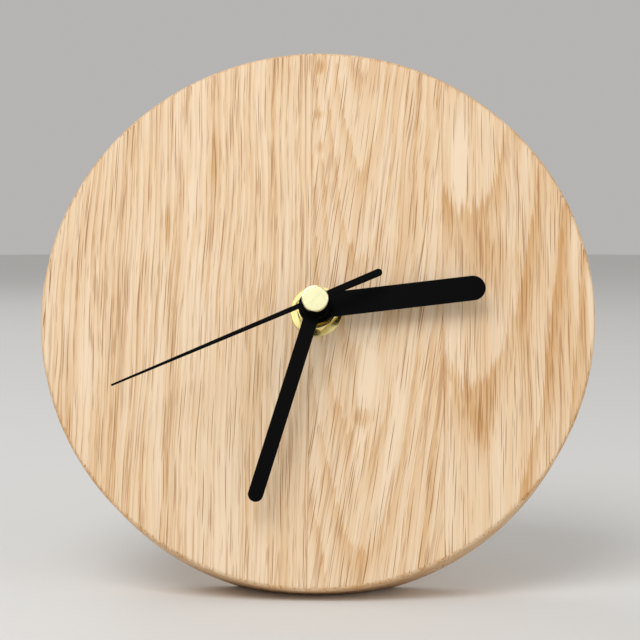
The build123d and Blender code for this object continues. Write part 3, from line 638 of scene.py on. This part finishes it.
# Patterns of the wood: how often each repeats in a millimetre across, along and through the board.
Pattern = namedtuple("Pattern", "often detail roughness")
patterns = {
    "sway": Pattern((0.05, 0.014, 0.05), 2.0, 0.5),
    "streaks": Pattern((1.4, 0.013, 1.4), 3.0, 0.66),
    "threads": Pattern((3.4, 0.05, 3.4), 3.0, 0.72),
    "zones": Pattern((0.30, 0.009, 0.30), 2.0, 0.5),
    "blotch": Pattern((0.10, 0.03, 0.10), 3.0, 0.6),
    "fibres": Pattern((0.6, 0.011, 0.6), 1.0, 0.5),
}

# Pores: the room that each has across, along and through the board, in millimetres, and where its
# soft edge starts and ends as shares of that room.
Pores = namedtuple("Pores", "room edge core")
dash_pores = Pores((0.36, 9.0, 0.36), 0.42, 0.18)
hair_pores = Pores((0.46, 30.0, 0.46), 0.31, 0.18)

# How strongly each kind of dark line shows.
dash_strength = 0.42
hair_strength = 0.74
fibre_strength = 0.48
seam_strength = 0.3
# How far the sway of the grain moves the fibres and the rings, in millimetres.
fibre_sway = 5
ring_sway = 6
# Earlywood is full this far into a ring and gone by the second place, as shares of the ring.
early_full = 0.04
early_end = 0.62


def oak(name, to_grain, grain, figures=(), seams=(), cracks=()):
    """Solid oak: growth rings, streaks, pores, fibres, figures, glue lines and cracks."""
    colours = bpy.context.scene.clock_colours
    wood = bpy.context.scene.clock_wood
    finish = Finish(name, IOR=1.45)
    x, y, z = finish.parts(finish.place(to_grain))

    # The fibres lean with the board and sway a little on their way up.
    leaning = finish.place(Matrix.Rotation(grain.slant, 4, "Z") @ to_grain)
    sway = wood_noise(finish, leaning, "sway", (grain.seed,) * 3)
    point = finish.moved(leaning, finish.vector(sway * fibre_sway, 0, 0))
    shift = (grain.seed, grain.seed * 2, grain.seed * 3)
    parts = {
        pattern: wood_noise(finish, point, pattern, shift)
        for pattern in ("streaks", "threads", "zones", "blotch")
    }
    streaks, threads, zones = parts["streaks"], parts["threads"], parts["zones"]

    # Rings run round the heart of the tree, each with its earlywood first.
    across = x - grain.heart_x + sway * ring_sway
    through = z - grain.heart_z + y * grain.climb
    rings = (across * across + through * through) ** 0.5 / grain.ring
    ring = (rings + (streaks + threads * 0.6) * grain.jag).part_of_one()
    parts["early"] = ring.rises(early_end, 0.0) * ring.rises(0.0, early_full) * (zones * 1.4 + 1.0)

    # The turned rim is deeper in tone than the sanded face.
    rim_start = (wood.disc_diameter / 2 - wood.front_round) / mm
    parts["rim"] = ((x * x + y * y) ** 0.5).rises(rim_start, rim_start + 1)

    # How deep the tone is, how crowded the dashes are and how open the grain is.
    tone = weighed(
        parts, 0.20, early=grain.band, streaks=grain.streak * 0.8, threads=0.9, blotch=0.5, zones=0.9,
        rim=0.26,
    )
    crowded = weighed(parts, 0.22, early=0.8, blotch=0.8, zones=0.6)
    open_grain = zones * 1.1
    for figure in figures:
        mask = figure_mask(x, y, streaks, figure) * figure.strength
        tone, crowded, open_grain = tone + mask, crowded + mask, open_grain + mask

    # Short and long pores, and the fine fibres between them.
    dash_near, dash_pick = pores(finish, point, dash_pores, shift)
    dashes = dash_near * (crowded * grain.dash_share - dash_pick).rises(-0.05, 0.15)
    hair_near, hair_pick = pores(finish, point, hair_pores, (5, grain.seed, 9))
    hairs = hair_near * (grain.hair_share + open_grain - hair_pick).rises(0.0, 0.25)
    wandering = wood_noise(finish, point, "fibres", (9, 4, grain.seed))
    fibres = abs(wandering).rises(0.028, 0.008) * (0.55 + open_grain * 1.4 + threads * 1.2)
    pore = (dashes * dash_strength).largest(hairs * hair_strength).largest(fibres * fibre_strength)

    # The tone runs from pale to deep. Pores, glue lines and cracks are darker still.
    stops = ((0.0, colours.oak_pale), (0.40, colours.oak_mid), (1.0, colours.oak_deep))
    shade = finish.node("ShaderNodeValToRGB", {"stops": stops}, {0: tone})
    shade = finish.mixed(pore, shade, colours.oak_pore)
    for seam in seams:
        shade = finish.mixed(abs(x - seam).rises(0.22, 0.04) * seam_strength, shade, colours.oak_pore)
    for crack in cracks:
        mask = figure_mask(x, y, streaks, crack)
        shade = finish.mixed(mask * crack.strength, shade, colours.oak_pore)

    finish.bumped(0.75 - pore + threads * 0.3, 0.07 * mm, 0.5)
    return finish.done(Base_Color=shade, Roughness=0.52 + pore * 0.2 - threads * 0.12)


def weighed(parts, start, **weights):
    """A starting value with some parts added to it, each times its weight."""
    total = start
    for name, weight in weights.items():
        total = parts[name] * weight + total
    return total


def wood_noise(finish, point, name, shift):
    """One of the wood's patterns, from about -0.5 to 0.5."""
    pattern = patterns[name]
    stretched = finish.stretched(point, pattern.often, shift)
    return finish.noise(stretched, detail=pattern.detail, roughness=pattern.roughness) - 0.5


def pores(finish, point, kind, shift):
    """Long thin pores, one in each stretched cell, and a number from 0 to 1 that belongs to each."""
    scaled = finish.stretched(point, [1 / room for room in kind.room], shift)
    near = finish.cells(scaled, "Distance").rises(kind.edge, kind.core)
    return near, finish.parts(finish.cells(scaled, "Color"))[0]


def figure_mask(x, y, ragged, figure):
    """Soft ragged oval, leaning with the grain."""
    along = (y - figure.y) / figure.half_height
    across = (x - figure.x - (y - figure.y) * figure.lean) / figure.half_width
    far = (along * along + across * across) ** 0.5 + ragged * 1.6
    return far.rises(1.3, 0.3)


# Other finishes

def brass(name, colour_of_metal, painted_reflection_line=0.0):
    """Turned brass with fine rings from the lathe, and perhaps a faint dark line across its middle, which is
    a painted reflection of the turned face.
    """
    finish = Finish(name, Metallic=1.0)
    point = finish.on_dial()
    x, y, z = finish.parts(point)
    radius = (x * x + y * y) ** 0.5
    rings = finish.noise(finish.vector(radius, z * 0.3, 0.0), scale=5.0, detail=4.0, roughness=0.7)
    cloud = finish.noise(point, scale=0.5, detail=3.0)
    finish.bumped(rings, 0.012 * mm, 0.5)
    dull = [part * 0.78 for part in colour_of_metal]
    shade = finish.mixed((cloud - 0.35) * 0.5, colour_of_metal, dull)
    # The painted reflection is a slightly wavy dark line across the middle that ends before the edge. It
    # stands in for the streak of light that a turned face reflects.
    wavy = x - y + (cloud - 0.5) * 0.3
    line = abs(wavy).rises(0.16, 0.03) * radius.rises(2.7, 2.2) * painted_reflection_line
    shade = finish.mixed(line, shade, dull)
    return finish.done(Base_Color=shade, Roughness=0.15 + rings * 0.10 + cloud * 0.05)


def painted(name, shade):
    """Smooth satin paint with faint orange peel and a little dust."""
    finish = Finish(name, Specular_IOR_Level=0.04)
    point = finish.on_dial()
    peel = finish.noise(point, scale=1.6, detail=2.0)
    dust = finish.noise(point, scale=7.0, detail=2.0).rises(0.70, 0.78)
    finish.bumped(peel, 0.02 * mm, 0.35)
    pale = [part * 4 + 0.008 for part in shade]
    tone = finish.mixed(dust * 0.25, shade, pale)
    return finish.done(Base_Color=tone, Roughness=0.26 + peel * 0.12 + dust * 0.2)


def moulded(name, shade, grain, roughness):
    """Moulded plastic or rubber with a fine grain."""
    finish = Finish(name)
    point = finish.place(Matrix.Identity(4))
    fine = finish.noise(point, scale=9.0, detail=2.0)
    cloud = finish.noise(point, scale=0.16, detail=3.0)
    finish.bumped(fine, 0.03 * mm, grain)
    tone = finish.mixed((cloud - 0.3) * 0.4, shade, [part * 0.86 for part in shade])
    return finish.done(Base_Color=tone, Roughness=roughness + cloud * 0.14 + fine * 0.05)


def metal(name, shade, roughness, brushing=(0.3, 6.0, 6.0)):
    """Bare metal, brushed one way."""
    finish = Finish(name, Metallic=1.0)
    point = finish.on_dial()
    brushed = finish.noise(finish.stretched(point, brushing), detail=4.0, roughness=0.7)
    finish.bumped(brushed, 0.01 * mm, 0.5)
    tone = finish.mixed(brushed * 0.4, shade, [part * 0.8 for part in shade])
    return finish.done(Base_Color=tone, Roughness=roughness + brushed * 0.12)


def wound_copper(name, shade):
    """Lacquered wire, wound in close turns across the coil, with painted shade in the grooves between the
    turns.
    """
    finish = Finish(name, Metallic=0.9)
    along_coil = finish.parts(finish.on_dial())[0]
    turns = abs((along_coil * 7.0).part_of_one() - 0.5) * 2
    finish.bumped(turns, 0.06 * mm, 0.8)
    # The grooves between the turns are darkened as painted shade.
    tone = finish.mixed(turns, [part * 0.45 for part in shade], shade)
    return finish.done(Base_Color=tone, Roughness=0.34 - turns * 0.1)


def printed_sleeve(name, shade):
    """Plain sleeve of the cell with one pale band near its terminal."""
    colours = bpy.context.scene.clock_colours
    works = bpy.context.scene.clock_works
    finish = Finish(name)
    point = finish.on_dial()
    x, y, z = finish.parts(point)
    body_end = (works.cell_right - works.terminal_length) / mm
    soft = 0.05
    from_end = x - body_end
    band_start, band_end = works.band_start / mm, works.band_end / mm
    band = (from_end + band_start).rises(-soft, soft) * (from_end + band_end).rises(soft, -soft)
    radius = ((y - works.cell_height / mm) ** 2.0 + (z + works.cell_depth / mm) ** 2.0) ** 0.5
    fold = works.sleeve_fold / mm
    bare = from_end.rises(-0.02, 0.02).largest(radius.rises(fold + soft, fold - soft))
    cloud = finish.noise(point, scale=0.5, detail=3.0)
    tone = finish.mixed(band, shade, colours.cell_band)
    tone = finish.mixed(bare, tone, colours.nickel)
    tone = finish.mixed(cloud * 0.2, tone, (0.02, 0.02, 0.02))
    finish.bumped(cloud, 0.02 * mm, 0.4)
    return finish.done(Base_Color=tone, Roughness=0.26 + cloud * 0.12, Metallic=0.3 + bare * 0.7)


def floor_finish(name):
    """Plain pale floor."""
    finish = Finish(name)
    point = finish.place(Matrix.Identity(4))
    cloud = finish.noise(point, scale=0.02, detail=3.0)
    shade = bpy.context.scene.clock_colours.floor
    tone = finish.mixed(cloud * 0.3, shade, [part * 0.97 for part in shade])
    return finish.done(Base_Color=tone, Roughness=0.65 + cloud * 0.1)


# How each slot of the record is finished: what makes it, and how strong its grain or how rough it is.
finish_makers = {
    "rubber": (moulded, 0.8, 0.62),
    "white_plastic": (moulded, 0.3, 0.36),
    "black_plastic": (moulded, 0.6, 0.42),
    "board": (moulded, 0.3, 0.34),
    "resin": (moulded, 0.2, 0.22),
    "steel": (metal, 0.24),
    "magnet": (metal, 0.45, (3.0, 3.0, 3.0)),
    "nickel": (metal, 0.22),
    "copper": (wound_copper,),
    "brass": (brass,),
    # The cap's brass has its painted reflection line at this strength.
    "pale_brass": (brass, 0.8),
    "black_paint": (painted,),
    "cell_sleeve": (printed_sleeve,),
}


def works_finish(slot):
    """Finish that belongs to a slot, made once."""
    name = slot.replace("_", " ") + " finish"
    if name not in bpy.data.materials:
        make, *settings = finish_makers[slot]
        make(name, getattr(bpy.context.scene.clock_colours, slot), *settings)
    return bpy.data.materials[name]


# Wood pieces

def oak_blank(wood, fittings):
    """The whole disc before it is parted into boards, in the dial frame."""
    radius = wood.disc_diameter / 2
    hole = fittings.bush_radius + wood.bush_hole_gap
    back = -wood.disc_thickness
    bm = bmesh.new()
    front_corner = 3
    verts = wire(bm, [
        (hole, 0, -wood.web), (hole, 0, 0), (radius - 2 * wood.front_round, 0, 0), (radius, 0, 0),
        (radius, 0, back + wood.back_chamfer), (radius - wood.back_chamfer, 0, back),
    ])[0]
    round_corners(bm, [verts[front_corner]], wood.front_round, wood.front_round_steps)
    spin_about_z(bm, bm.verts[:] + bm.edges[:], wood.rim_steps)

    half = wood.pocket_side / 2
    square = bmesh.ops.create_grid(
        bm, x_segments=1, y_segments=1, size=half, matrix=Matrix.Translation((0, 0, back))
    )["verts"]
    round_corners(bm, square, wood.pocket_corner, wood.pocket_corner_steps)
    pocket_face = max(bm.faces, key=lambda face: len(face.verts))
    pocket = list(pocket_face.edges)
    bmesh.ops.delete(bm, geom=[pocket_face], context="FACES_ONLY")
    floor = pushed_in(bm, pocket, wood.disc_thickness - wood.web)

    leg_place = (0, -wood.leg_below_centre, back)
    leg_hole = ring_of_edges(bm, wood.leg_diameter / 2 + wood.glue_gap, leg_place, wood.leg_hole_steps)
    filled(bm, pushed_in(bm, leg_hole, wood.leg_hole_depth))

    rim = open_loop(bm, back, radius - 2 * wood.back_chamfer)
    filled(bm, rim + pocket + leg_hole)
    mouth = [edge for edge in open_loop(bm, -wood.web, 0) if edge not in floor]
    filled(bm, mouth + floor)
    bmesh.ops.recalc_face_normals(bm, faces=bm.faces)
    to_table = dial_frame(wood).inverted()
    sawn(bm, to_table @ Vector((0, 0, 0)), to_table.to_3x3() @ Vector((0, 0, 1)))
    return bm


def open_loop(bm, height, beyond):
    """Open edges at a height, further out than a radius."""
    near = 0.01 * mm
    there = {
        vert for vert in bm.verts
        if abs(vert.co.z - height) < near and hypot(vert.co.x, vert.co.y) > beyond
    }
    return [edge for edge in bm.edges if edge.is_boundary and there.issuperset(edge.verts)]


# Operators

class CLOCK_OT_oak_boards(Operator):
    """Three oak boards glued into a disc, with its pocket, holes and base flat"""
    bl_idname = "clock.oak_boards"
    bl_label = "Oak boards"

    def execute(self, context):
        wood = context.scene.clock_wood
        blank = oak_blank(wood, context.scene.clock_fittings)
        beyond = wood.disc_diameter
        edges = (-beyond, wood.left_glue_line, wood.right_glue_line, beyond)
        to_grain = dial_frame(wood).inverted()
        seams = (wood.left_glue_line / mm, wood.right_glue_line / mm)
        for name, low, high in zip(("left", "middle", "right"), edges, edges[1:]):
            board = blank.copy()
            if low > -beyond:
                sawn(board, (low, 0, 0), (1, 0, 0))
            if high < beyond:
                sawn(board, (high, 0, 0), (1, 0, 0), keep_front=False)
            finish = oak("oak_" + name, to_grain, grains[name], figures_of[name], seams, cracks_of[name])
            stand_up(board, "board_" + name, finish, "stand", "oak", "oak_board_" + name)
        blank.free()
        return {"FINISHED"}


class CLOCK_OT_leg(Operator):
    """Dowel leg, trimmed level with the table"""
    bl_idname = "clock.leg"
    bl_label = "Leg"

    def execute(self, context):
        wood = context.scene.clock_wood
        place = dial_frame(wood)
        to_table = place.inverted()
        radius = wood.leg_diameter / 2
        centre = place.to_translation().z
        touch = -(centre - (wood.leg_below_centre + radius) * cos(wood.lean)) / sin(wood.lean)
        low = touch - wood.leg_foot_length
        high = wood.leg_hole_depth - wood.disc_thickness
        bm = bmesh.new()
        chamfer = wood.leg_end_chamfer
        turned(bm, (
            (0, low), (radius - chamfer, low), (radius, low + chamfer), (radius, high), (0, high),
        ), context.scene.clock_fittings.turned_steps)
        bmesh.ops.translate(bm, verts=bm.verts, vec=(0, -wood.leg_below_centre, 0))
        sawn(bm, to_table @ Vector((0, 0, 0)), to_table.to_3x3() @ Vector((0, 0, 1)))
        along_leg = Matrix.Rotation(-pi / 2, 4, "X") @ to_table
        finish = oak("oak_leg", along_leg, grains["leg"])
        stand_up(bm, "dowel_leg", finish, "stand", "oak", "prop_leg")
        return {"FINISHED"}


class CLOCK_OT_brass(Operator):
    """Threaded bush, washer and nut that clamp the movement"""
    bl_idname = "clock.brass"
    bl_label = "Bush, washer and nut"

    def execute(self, context):
        sizes = context.scene.clock_fittings
        finish = works_finish("brass")
        self.bush(sizes, finish)
        self.washer(sizes, finish)
        nut = softened_copy("hex_nut", sizes.washer_edge)
        handed_over(nut, "brass_nut", finish, "stand", "brass", "hex_nut")
        return {"FINISHED"}

    def bush(self, sizes, finish):
        """Threaded pipe with a flange inside the case. Its thread is a row of closed ridges."""
        inner = sizes.hour_pipe_radius + sizes.running_gap
        outer = sizes.bush_radius
        root = outer - sizes.thread_depth
        turns_in_wood = 3
        turns = int(sizes.bush_reach / sizes.thread_pitch) + turns_in_wood
        thread = []
        for turn in range(turns, 0, -1):
            top = sizes.bush_reach - (turn - 1) * sizes.thread_pitch - sizes.thread_depth
            thread += [(root, top - sizes.thread_pitch / 2), (outer, top)]
        foot = -sizes.bush_foot
        flange_top = foot + sizes.bush_flange_thickness
        bm = bmesh.new()
        turned(bm, [
            (inner, foot), (sizes.bush_flange_radius, foot), (sizes.bush_flange_radius, flange_top),
            (outer, flange_top), (outer, thread[0][1] - sizes.thread_depth), *thread,
            (root, sizes.bush_reach), (inner, sizes.bush_reach),
        ], sizes.turned_steps, closed=True)
        stand_up(bm, "bush", finish, "stand", "brass", "threaded_bush")

    def washer(self, sizes, finish):
        """Flat ring with the corners of its upper side broken."""
        high, edge = sizes.washer_thickness, sizes.washer_edge
        bore, rim = sizes.bush_radius + sizes.thread_gap, sizes.washer_radius
        bm = bmesh.new()
        turned(bm, [
            (bore, 0), (rim, 0), (rim, high - edge), (rim - edge, high), (bore + edge, high),
            (bore, high - edge),
        ], sizes.turned_steps, closed=True)
        stand_up(bm, "flat_washer", finish, "stand", "brass", "washer")


def bar_edges(bm, hub, bar_length, bar_width, eye_steps):
    """Outline of an eye with a straight bar that ends round, pointing at twelve."""
    half = bar_width / 2
    start = bm.verts.new((half, sqrt(hub * hub - half * half), 0))
    eye_end = arc(bm, start, 0, 2 * asin(half / hub) - 2 * pi, eye_steps)
    far = bm.verts.new((half, bar_length - half, 0))
    tip_end = arc(bm, far, bar_length - half, pi, eye_steps // 2)
    bm.edges.new((start, far))
    bm.edges.new((eye_end, tip_end))
    return bm.edges[:]


class CLOCK_OT_hands(Operator):
    """Hour and minute hands, cut from black sheet with a collet under each"""
    bl_idname = "clock.hands"
    bl_label = "Hour and minute hands"

    def execute(self, context):
        hands = context.scene.clock_hands
        fittings = context.scene.clock_fittings
        self.hand("hour", hands, fittings.hour_pipe_radius + fittings.fit_gap)
        self.hand("minute", hands, fittings.minute_pipe_radius + fittings.fit_gap)
        return {"FINISHED"}

    def hand(self, kind, hands, bore):
        """One hand with its collet, turned to its angle."""
        hub, bar_length, bar_width, height, hand_angle = (
            getattr(hands, kind + "_" + part) for part in ("hub", "length", "width", "level", "angle")
        )
        bm = bmesh.new()
        outline = bar_edges(bm, hub, bar_length, bar_width, hands.eye_steps)
        hole = ring_of_edges(bm, bore, (0, 0, 0), hands.eye_steps)
        sheet_cut(bm, outline + hole, height, hands.thickness, hands.edge)
        edge, wall = hands.edge, bore + hands.collet_wall
        low, top = height - hands.collet_height, height - hands.edge / 4
        turned(bm, [
            (bore, low), (wall - edge, low), (wall, low + edge), (wall, top), (bore, top),
        ], hands.eye_steps, closed=True)
        bmesh.ops.transform(bm, matrix=turned_to(hand_angle), verts=bm.verts)
        finish = works_finish("black_paint")
        stand_up(bm, kind + "_pointer", finish, kind + "_group", "black_paint", kind + "_hand")


class CLOCK_OT_second_hand(Operator):
    """Needle with its counterweight tail, and the brass cap that carries it"""
    bl_idname = "clock.second_hand"
    bl_label = "Second hand"

    def execute(self, context):
        hands = context.scene.clock_hands
        sizes = context.scene.clock_fittings
        self.pointer(hands, sizes)
        self.cap(hands, sizes)
        return {"FINISHED"}

    def pointer(self, hands, sizes):
        """Needle and tail in one sheet, with a hole for the cap's stem."""
        bm = bmesh.new()
        self.needle(bm, hands, sizes.cap_stem_radius + hands.collet_wall)
        outline = bm.edges[:]
        hole_radius = sizes.cap_stem_radius + sizes.fit_gap
        hole = ring_of_edges(bm, hole_radius, (0, 0, 0), hands.needle_eye_steps)
        sheet_cut(bm, outline + hole, hands.second_level, hands.thickness, hands.edge)
        bmesh.ops.transform(bm, matrix=turned_to(hands.second_angle), verts=bm.verts)
        paint = works_finish("black_paint")
        stand_up(bm, "second_pointer", paint, "second_group", "black_paint", "second_hand")

    def cap(self, hands, sizes):
        """Turned cap with a crisp chamfer, on a bored stem."""
        seat = hands.second_level + hands.thickness
        top = seat + sizes.cap_height
        crown = top - sizes.cap_crown
        foot = seat - sizes.cap_stem_length
        bore_end = seat + sizes.cap_bore_depth
        bore, stem = sizes.arbor_radius + sizes.fit_gap, sizes.cap_stem_radius
        rim, chamfer, edge = sizes.cap_radius, sizes.cap_chamfer, hands.edge
        bm = bmesh.new()
        turned(bm, [
            (0, bore_end), (bore, bore_end), (bore, foot), (stem, foot), (stem, seat),
            (rim - edge, seat), (rim, seat + edge), (rim, crown - chamfer),
            (rim - chamfer / 4, crown - chamfer / 4), (rim - chamfer, crown),
            (rim / 2, top - sizes.cap_crown / 4), (0, top),
        ], sizes.turned_steps)
        metal_of_cap = works_finish("pale_brass")
        stand_up(
            bm, "cap", metal_of_cap, "second_group", "brass", "second_hand_boss", sharp=radians(12)
        )

    def needle(self, bm, hands, eye):
        """Outline of the needle, its eye and its tail, pointing at twelve."""
        tail_centre = hands.tail_length - hands.tail_end_width / 2
        root_half, tip_half = hands.second_root_width / 2, hands.second_tip_width / 2
        tail_half, end_half = hands.tail_root_width / 2, hands.tail_end_width / 2
        needle_turn = asin(root_half / eye)
        tail_turn = asin(tail_half / eye)
        side_turn = needle_turn + tail_turn - pi
        side_steps = hands.needle_arc_steps
        right = bm.verts.new((eye * sin(needle_turn), eye * cos(needle_turn), 0))
        right_tail = arc(bm, right, 0, side_turn, side_steps)
        tail = bm.verts.new((end_half, -tail_centre, 0))
        left_end = arc(bm, tail, -tail_centre, -pi, hands.tail_end_steps)
        left_tail = bm.verts.new((-eye * sin(tail_turn), -eye * cos(tail_turn), 0))
        left = arc(bm, left_tail, 0, side_turn, side_steps)
        tip = [bm.verts.new((side * tip_half, hands.second_length, 0)) for side in (-1, 1)]
        for pair in ((right_tail, tail), (left_end, left_tail), (left, tip[0]), tip, (tip[1], right)):
            bm.edges.new(pair)


class CLOCK_OT_case(Operator):
    """Moulded front case, rear cover and setting knob"""
    bl_idname = "clock.case"
    bl_label = "Case"

    def execute(self, context):
        works = context.scene.clock_works
        finish = works_finish("black_plastic")
        for piece, body, node in (
            ("case_shell", "stand", "front_case"), ("case_cover", "stand", "rear_cover"),
            ("knob", "motion_group", "setting_knob"),
        ):
            bm = softened_copy(node, works.plastic_edge)
            handed_over(bm, piece, finish, body, "black_plastic", node)
        return {"FINISHED"}


class CLOCK_OT_cell(Operator):
    """Round battery lying across its bay"""
    bl_idname = "clock.cell"
    bl_label = "Battery"

    def execute(self, context):
        works = context.scene.clock_works
        radius, edge, nub = works.cell_radius, works.cell_edge, works.terminal_radius
        dish, dish_rim = radius * 0.78, radius * 0.8
        groove, groove_rim, shoulder = radius * 0.82, radius * 0.84, nub * 1.3
        lip, end = edge / 3, works.cell_length
        body = end - works.terminal_length
        bm = bmesh.new()
        turned(bm, [
            (0, edge / 2), (dish, edge / 2), (dish_rim, 0), (radius - edge, 0), (radius - lip, lip),
            (radius, edge), (radius, body - edge), (radius - lip, body - lip), (radius - edge, body),
            (groove_rim, body), (groove, body - edge), (shoulder, body - edge), (shoulder, body - lip),
            (nub, body - lip), (nub, end - lip), (nub - lip, end), (0, end),
        ], context.scene.clock_fittings.turned_steps)
        left = works.cell_right - works.cell_length
        place = Matrix.Translation((left, works.cell_height, -works.cell_depth))
        bmesh.ops.transform(bm, matrix=place @ Matrix.Rotation(pi / 2, 4, "Y"), verts=bm.verts)
        stand_up(bm, "cell", works_finish("cell_sleeve"), "stand", "cell_sleeve", "battery")
        return {"FINISHED"}


class CLOCK_OT_works(Operator):
    """Finishes of the wheels, motor, circuit and contacts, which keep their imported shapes"""
    bl_idname = "clock.works"
    bl_label = "Works"

    def execute(self, context):
        for subpart in frame["record"]["subparts"]:
            node = frame["nodes"][subpart["node"]]
            if node.hide_render:
                continue
            finish = works_finish(subpart["material_slot"])
            node.data.materials.clear()
            node.data.materials.append(finish)
        return {"FINISHED"}


class CLOCK_OT_stage(Operator):
    """Pale floor, soft lamps and the camera"""
    bl_idname = "clock.stage"
    bl_label = "Stage"

    def execute(self, context):
        stage = context.scene.clock_stage
        self.floor(stage)
        self.surround(context, stage)
        face = dial_frame(context.scene.clock_wood)
        leant = face.to_3x3()
        for name, way, kind in (
            ("key_lamp", leant @ Vector((-0.4, 0.8, 1.0)), "key"),
            ("card_lamp", leant @ Vector((-0.12, 0.30, 1.0)), "card"),
            ("fill_lamp", Vector((1.0, -0.7, 0.5)), "fill"),
            ("rear_lamp", Vector((-0.5, 1.0, 0.9)), "fill"),
        ):
            sizes = (getattr(stage, kind + "_" + part) for part in ("distance", "size", "power"))
            self.lamp(name, face, way, *sizes)
        self.camera(context, stage, face)
        context.scene.view_settings.view_transform = "Standard"
        return {"FINISHED"}

    def floor(self, stage):
        """Round floor, which isn't part of the clock."""
        bm = bmesh.new()
        bmesh.ops.create_circle(bm, cap_ends=True, radius=stage.floor_radius, segments=96)
        put_in_scene("floor", mesh_of(bm, "floor", floor_finish("floor")))

    def surround(self, context, stage):
        """Pale light from all round."""
        world = bpy.data.worlds.new("surround")
        world.use_nodes = True
        background = world.node_tree.nodes["Background"]
        warm_white = (1.0, 0.985, 0.96, 1)
        background.inputs["Color"].default_value = warm_white
        background.inputs["Strength"].default_value = stage.surround
        context.scene.world = world

    def lamp(self, name, face, way, distance, side, power):
        """Square lamp that looks at the middle of the face."""
        light = bpy.data.lights.new(name, "AREA")
        light.shape = "SQUARE"
        light.size = side
        light.energy = power
        lamp = put_in_scene(name, light)
        lamp.location = face.to_translation() + way.normalized() * distance
        lamp.rotation_euler = way.to_track_quat("Z", "Y").to_euler()

    def camera(self, context, stage, face):
        """Camera at the photographer's place."""
        aside, down = stage.look_aside, stage.look_down
        right = Vector((cos(aside), sin(aside), 0))
        back = Vector((sin(aside) * cos(down), -cos(aside) * cos(down), sin(down)))
        up = back.cross(right)
        lens = bpy.data.cameras.new("camera")
        lens.lens = stage.lens / mm
        lens.sensor_width = stage.sensor / mm
        lens.clip_start = 0.01
        camera = put_in_scene("camera", lens)
        spot = face.to_translation() - right * stage.aside - up * stage.above + back * stage.distance
        turn = Matrix((right, up, back)).transposed().to_4x4()
        camera.matrix_world = Matrix.Translation(spot) @ turn
        context.scene.camera = camera


class CLOCK_PT_sidebar(Panel):
    """Sizes, colours and the steps that build the clock"""
    bl_idname = "CLOCK_PT_sidebar"
    bl_label = "Oak desk clock"
    bl_space_type = "VIEW_3D"
    bl_region_type = "UI"
    bl_category = "Clock"

    def draw(self, context):
        for step in steps:
            self.layout.operator(step.bl_idname)
        for place in groups:
            box = self.layout.box()
            group = getattr(context.scene, place)
            for name in group.__annotations__:
                box.prop(group, name)


groups = {
    "clock_wood": ClockWoodSizes,
    "clock_hands": ClockHandSizes,
    "clock_fittings": ClockFittingSizes,
    "clock_works": ClockWorksSizes,
    "clock_colours": ClockColours,
    "clock_stage": ClockStage,
}
steps = (
    CLOCK_OT_oak_boards, CLOCK_OT_leg, CLOCK_OT_brass, CLOCK_OT_hands, CLOCK_OT_second_hand,
    CLOCK_OT_case, CLOCK_OT_cell, CLOCK_OT_works, CLOCK_OT_stage,
)


def register():
    for kind in (*groups.values(), *steps, CLOCK_PT_sidebar):
        bpy.utils.register_class(kind)
    for place, kind in groups.items():
        setattr(bpy.types.Scene, place, PointerProperty(type=kind))


def unregister():
    for place in groups:
        delattr(bpy.types.Scene, place)
    for kind in reversed((*groups.values(), *steps, CLOCK_PT_sidebar)):
        bpy.utils.unregister_class(kind)


def main():
    """Builds the clock and its stage."""
    register()
    for step in steps:
        getattr(bpy.ops.clock, step.bl_idname.removeprefix("clock."))()


if __name__ == "__main__":
    main()
